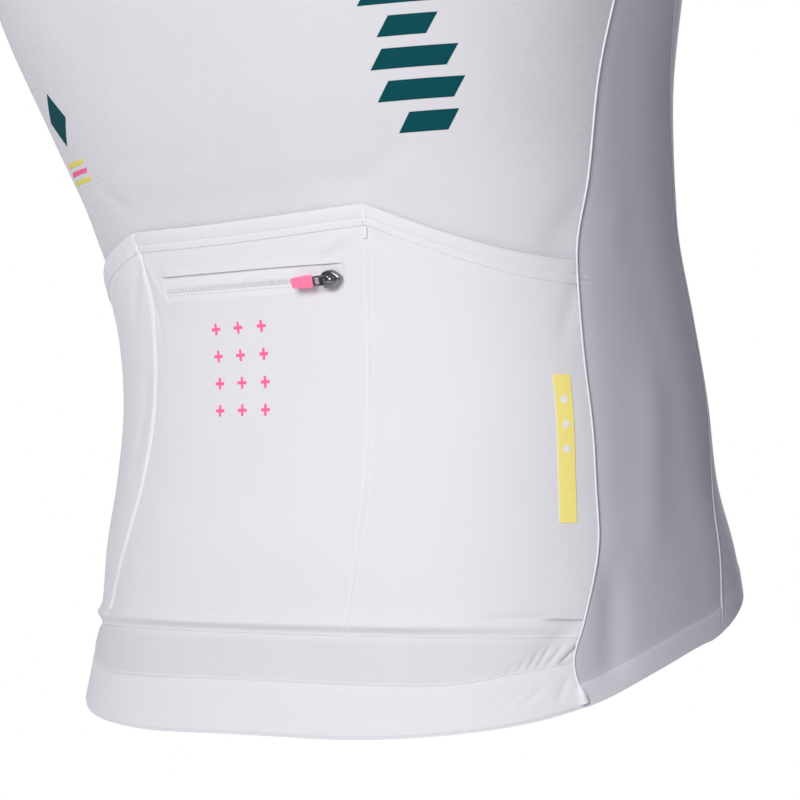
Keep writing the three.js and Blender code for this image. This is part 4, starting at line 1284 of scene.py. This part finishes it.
for side_name, aside in LEFT_SEAM_ASIDES:
    turns = turn_at(levels, left_arcs + aside)
    depth = on_left(levels, turns) + LEFT_SEAM_LIFT
    seam("pocket_seam_left_" + side_name, levels, turns, depth, LEFT_SEAM_RADIUS)
levels = np.linspace(POCKET_FOOT, POCKET_SEAMS_TO, 150)
turns = right_division(levels)
seam("pocket_seam_right", levels, turns, on_right(levels, turns) + RIGHT_SEAM_DEPTH, RIGHT_SEAM_RADIUS)
band_turns = np.linspace(-59.2, 59.2, 300)
seam("band_ridge", band_seam(band_turns), band_turns, BAND_RIDGE_DEPTH)

# Rows of stitches
POCKET_LINE_ASIDES = (1, 3.4)
ABOVE_BAND_SEAM, BELOW_BAND_SEAM, ABOVE_HEM, OFF_COLLAR_SEAM = 1.7, 1.6, 1.6, 1.8
levels = np.linspace(POCKET_FOOT + 3, 229, 150)
right_arcs = arc_of(levels, right_division(levels))
line_turns = [turn_at(levels, right_arcs + aside) for aside in POCKET_LINE_ASIDES]
pocket_lines = [line_on(on_right, levels, turns) for turns in line_turns]
stitched("pocket_stitches_right", pocket_lines)

turns = np.linspace(-58, 58, 320)
above_seam = line_on(back_depth, band_seam(turns) + ABOVE_BAND_SEAM, turns)
below_seam = line_on(band_depth, band_seam(turns) - BELOW_BAND_SEAM, turns)
stitched("band_stitches", [above_seam, below_seam])
above_hem = line_on(band_depth, hem(turns) + ABOVE_HEM, turns)
stitched("band_edge_stitches", [above_hem], pitch=1.7, length=1)
collar_levels = (NECK + OFF_COLLAR_SEAM, NECK - OFF_COLLAR_SEAM)
stitched("collar_stitches", [on_cloth(level, collar_turns * 0.985, 0.0) for level in collar_levels])

# Bars of close stitches at the pockets' corners: division, surface, foot, top and shift along the cloth
BARTACKS = [
    (left_division, on_left, 222, 229, 0),
    (right_division, on_right, 231, 236.5, 0.6),
    (right_division, on_right, 224, 229, 1.2),
]
BARTACK_PITCH, BARTACK_WIDTH, BARTACK_LIFT = 0.5, 2.2, 0.85
bars = []
for division_turn, shape, foot, top, shift in BARTACKS:
    for bar_level in np.arange(foot, top, BARTACK_PITCH):
        middle = arc_of(np.float64(bar_level), division_turn(bar_level)) + shift
        turns = turn_at(bar_level, middle + np.array([-0.5, 0.5]) * BARTACK_WIDTH)
        bars.append(line_on(shape, np.full(2, bar_level), turns, BARTACK_LIFT))
stitched("bartacks", bars, pitch=BARTACK_WIDTH, length=BARTACK_WIDTH, radius=0.34)

# Prints: plain shapes in flat colour, as thin films on the cloth
PRINT_LIFT, PRINT_WALL = 0.12, 0.1


def printed(name, corners, middle_arc, middle_level, depth_of, finish, turned=0.0, lift=0.0):
    """A four-cornered patch of print, by its corners in millimetres from its middle, turned in degrees."""
    around = math.radians(turned)
    spin = np.array([[math.cos(around), -math.sin(around)], [math.sin(around), math.cos(around)]])
    spots = np.asarray(corners, float) @ spin.T
    s, t = np.meshgrid(np.linspace(0, 1, 7), np.linspace(0, 1, 7))
    s, t = s[..., None], t[..., None]
    flat = lerp(lerp(spots[0], spots[1], s), lerp(spots[3], spots[2], s), t)
    level = middle_level + flat[..., 1]
    turn = turn_at(level, middle_arc + flat[..., 0])
    out = depth_of(level, turn) + lift + PRINT_LIFT
    shell(name, place(level, turn, out), place(level, turn, out - PRINT_WALL), flat, finish)


def box(width, height, slant=0.0):
    """Corners of an upright box, its top shifted sideways by a slant."""
    w, h = width / 2, height / 2
    return [(-w - slant / 2, -h), (w - slant / 2, -h), (w + slant / 2, h), (-w + slant / 2, h)]


BAR_COUNT, BAR_STEP, BAR_FIRST_LEVEL, BAR_ARC, BAR_ARC_STEP = 11, 13.6, 271, 112, 1.6
for bar in range(BAR_COUNT):
    shape = box(34 if bar % 3 else 22, 8.6, 8)
    arc, level = BAR_ARC + BAR_ARC_STEP * bar, BAR_FIRST_LEVEL + BAR_STEP * bar
    printed("print_bar_" + str(bar), shape, arc, level, back_depth, TEAL_PRINT)

DIAMOND_ARC, DIAMOND_LEVEL, DIAMOND_SIZE = -109, 295, 17
shape = box(DIAMOND_SIZE, DIAMOND_SIZE)
printed("print_diamond", shape, DIAMOND_ARC, DIAMOND_LEVEL, back_depth, TEAL_PRINT, 45)
STRIPES = [("upper", YELLOW_PRINT, 20), ("middle", PINK_PRINT, 24), ("lower", YELLOW_PRINT, 28)]
for stripe_name, colour, below in STRIPES:
    level = DIAMOND_LEVEL - below
    printed("print_stripe_" + stripe_name, box(26, 2, 2), DIAMOND_ARC, level, back_depth, colour)

PLUS_ARCS, PLUS_LEVELS = (-22, -8, 6), (153, 165.5, 178, 190.5)
PLUS_STROKES = [("across", box(5.4, 1.4), 0.03), ("up", box(1.4, 5.4), 0.0)]
for row, level in enumerate(PLUS_LEVELS):
    for column, arc in enumerate(PLUS_ARCS):
        for stroke, shape, lift in PLUS_STROKES:
            name = "print_plus_{}_{}_{}".format(stroke, row, column)
            printed(name, shape, arc, level, on_centre, PINK_ON_POCKET, lift=lift)

for dot, level in enumerate((135, 145, 155)):
    arc = strip_arc(level)
    printed("print_dot_" + str(dot), box(3, 3), arc, level, on_right, WHITE_PRINT, 45, STRIP_LIFT)

# Camera, floor and light
CAMERA_TURN = math.radians(41)
CAMERA_DISTANCE, CAMERA_HEIGHT = 2.6, 0.1575
FRAME_WIDTH_AT_AXIS = 0.3696
SENSOR = 36.0
FLOOR_BELOW, FLOOR_RADIUS, FLOOR_GLOW = 1.5, 4.5, 0.6
AMBIENT = (0.176, 0.162, 0.204)
LAMPS_AIM = Vector((-0.03, 0, -0.45))
# Lamps: name, watts, size, turn, height, distance and colour
LAMPS = [
    ("key", 59, 1.3, 21, 0.85, 2.5, (1, 1, 1)),
    ("front", 54, 1.4, -152, 0.8, 2.6, (1, 1, 1)),
    ("fill", 7, 1.6, -75, 0.3, 2.4, (0.95, 0.97, 1)),
]


def add_camera():
    data = bpy.data.cameras.new("camera")
    data.sensor_width = SENSOR
    data.lens = SENSOR * CAMERA_DISTANCE / FRAME_WIDTH_AT_AXIS
    camera = added("camera", data)
    aside, behind = math.sin(CAMERA_TURN), math.cos(CAMERA_TURN)
    spot = np.array([-aside * CAMERA_DISTANCE, behind * CAMERA_DISTANCE, CAMERA_HEIGHT])
    camera.location = spot - ORIGIN * MM
    camera.rotation_euler = Vector((aside, -behind, 0)).to_track_quat("-Z", "Y").to_euler()
    bpy.context.scene.camera = camera


def add_floor():
    """A plain floor that looks pale but throws little light back."""
    mesh = bpy.data.meshes.new("floor")
    work = bmesh.new()
    bmesh.ops.create_circle(work, cap_ends=True, segments=96, radius=FLOOR_RADIUS)
    work.to_mesh(mesh)
    work.free()
    floor = added("floor", mesh)
    floor.location = (0, 0, -FLOOR_BELOW)
    paint, _ = plain("floor_paint", (0.86, 0.86, 0.86), 0.8, scale=3, contrast=0.01)
    graph = Graph(paint.node_tree)
    shader = paint.node_tree.nodes["Principled BSDF"]
    shader.inputs["Emission Color"].default_value = (1, 1, 1, 1)
    seen = graph.node("ShaderNodeLightPath").outputs["Is Camera Ray"]
    graph.link(graph.times(seen, FLOOR_GLOW), shader.inputs["Emission Strength"])
    mesh.materials.append(paint)


def add_lamp(name, energy, size, turn, height, distance, colour):
    """A soft lamp round the garment, by its turn from straight behind towards the wearer's right."""
    data = bpy.data.lights.new(name, "AREA")
    data.energy = energy
    data.size = size
    data.color = colour
    lamp = added(name, data)
    around = math.radians(turn)
    lamp.location = LAMPS_AIM + Vector((-math.sin(around) * distance, math.cos(around) * distance, height))
    lamp.rotation_euler = (LAMPS_AIM - lamp.location).to_track_quat("-Z", "Y").to_euler()


def add_world():
    """An even light all round, with plain white behind the garment."""
    world = bpy.data.worlds.new("studio")
    bpy.context.scene.world = world
    world.use_nodes = True
    graph = Graph(world.node_tree)
    background = world.node_tree.nodes["Background"]
    background.inputs["Color"].default_value = (*AMBIENT, 1)
    white = graph.node("ShaderNodeBackground")
    white.inputs["Color"].default_value = (1, 1, 1, 1)
    mix = graph.node("ShaderNodeMixShader")
    camera_ray = graph.node("ShaderNodeLightPath").outputs["Is Camera Ray"]
    for socket, source in zip(mix.inputs, (camera_ray, background.outputs[0], white.outputs[0])):
        graph.link(source, socket)
    graph.link(mix.outputs[0], world.node_tree.nodes["World Output"].inputs[0])


bpy.context.scene.view_settings.view_transform = "Standard"
add_camera()
add_floor()
add_world()
for lamp_row in LAMPS:
    add_lamp(*lamp_row)
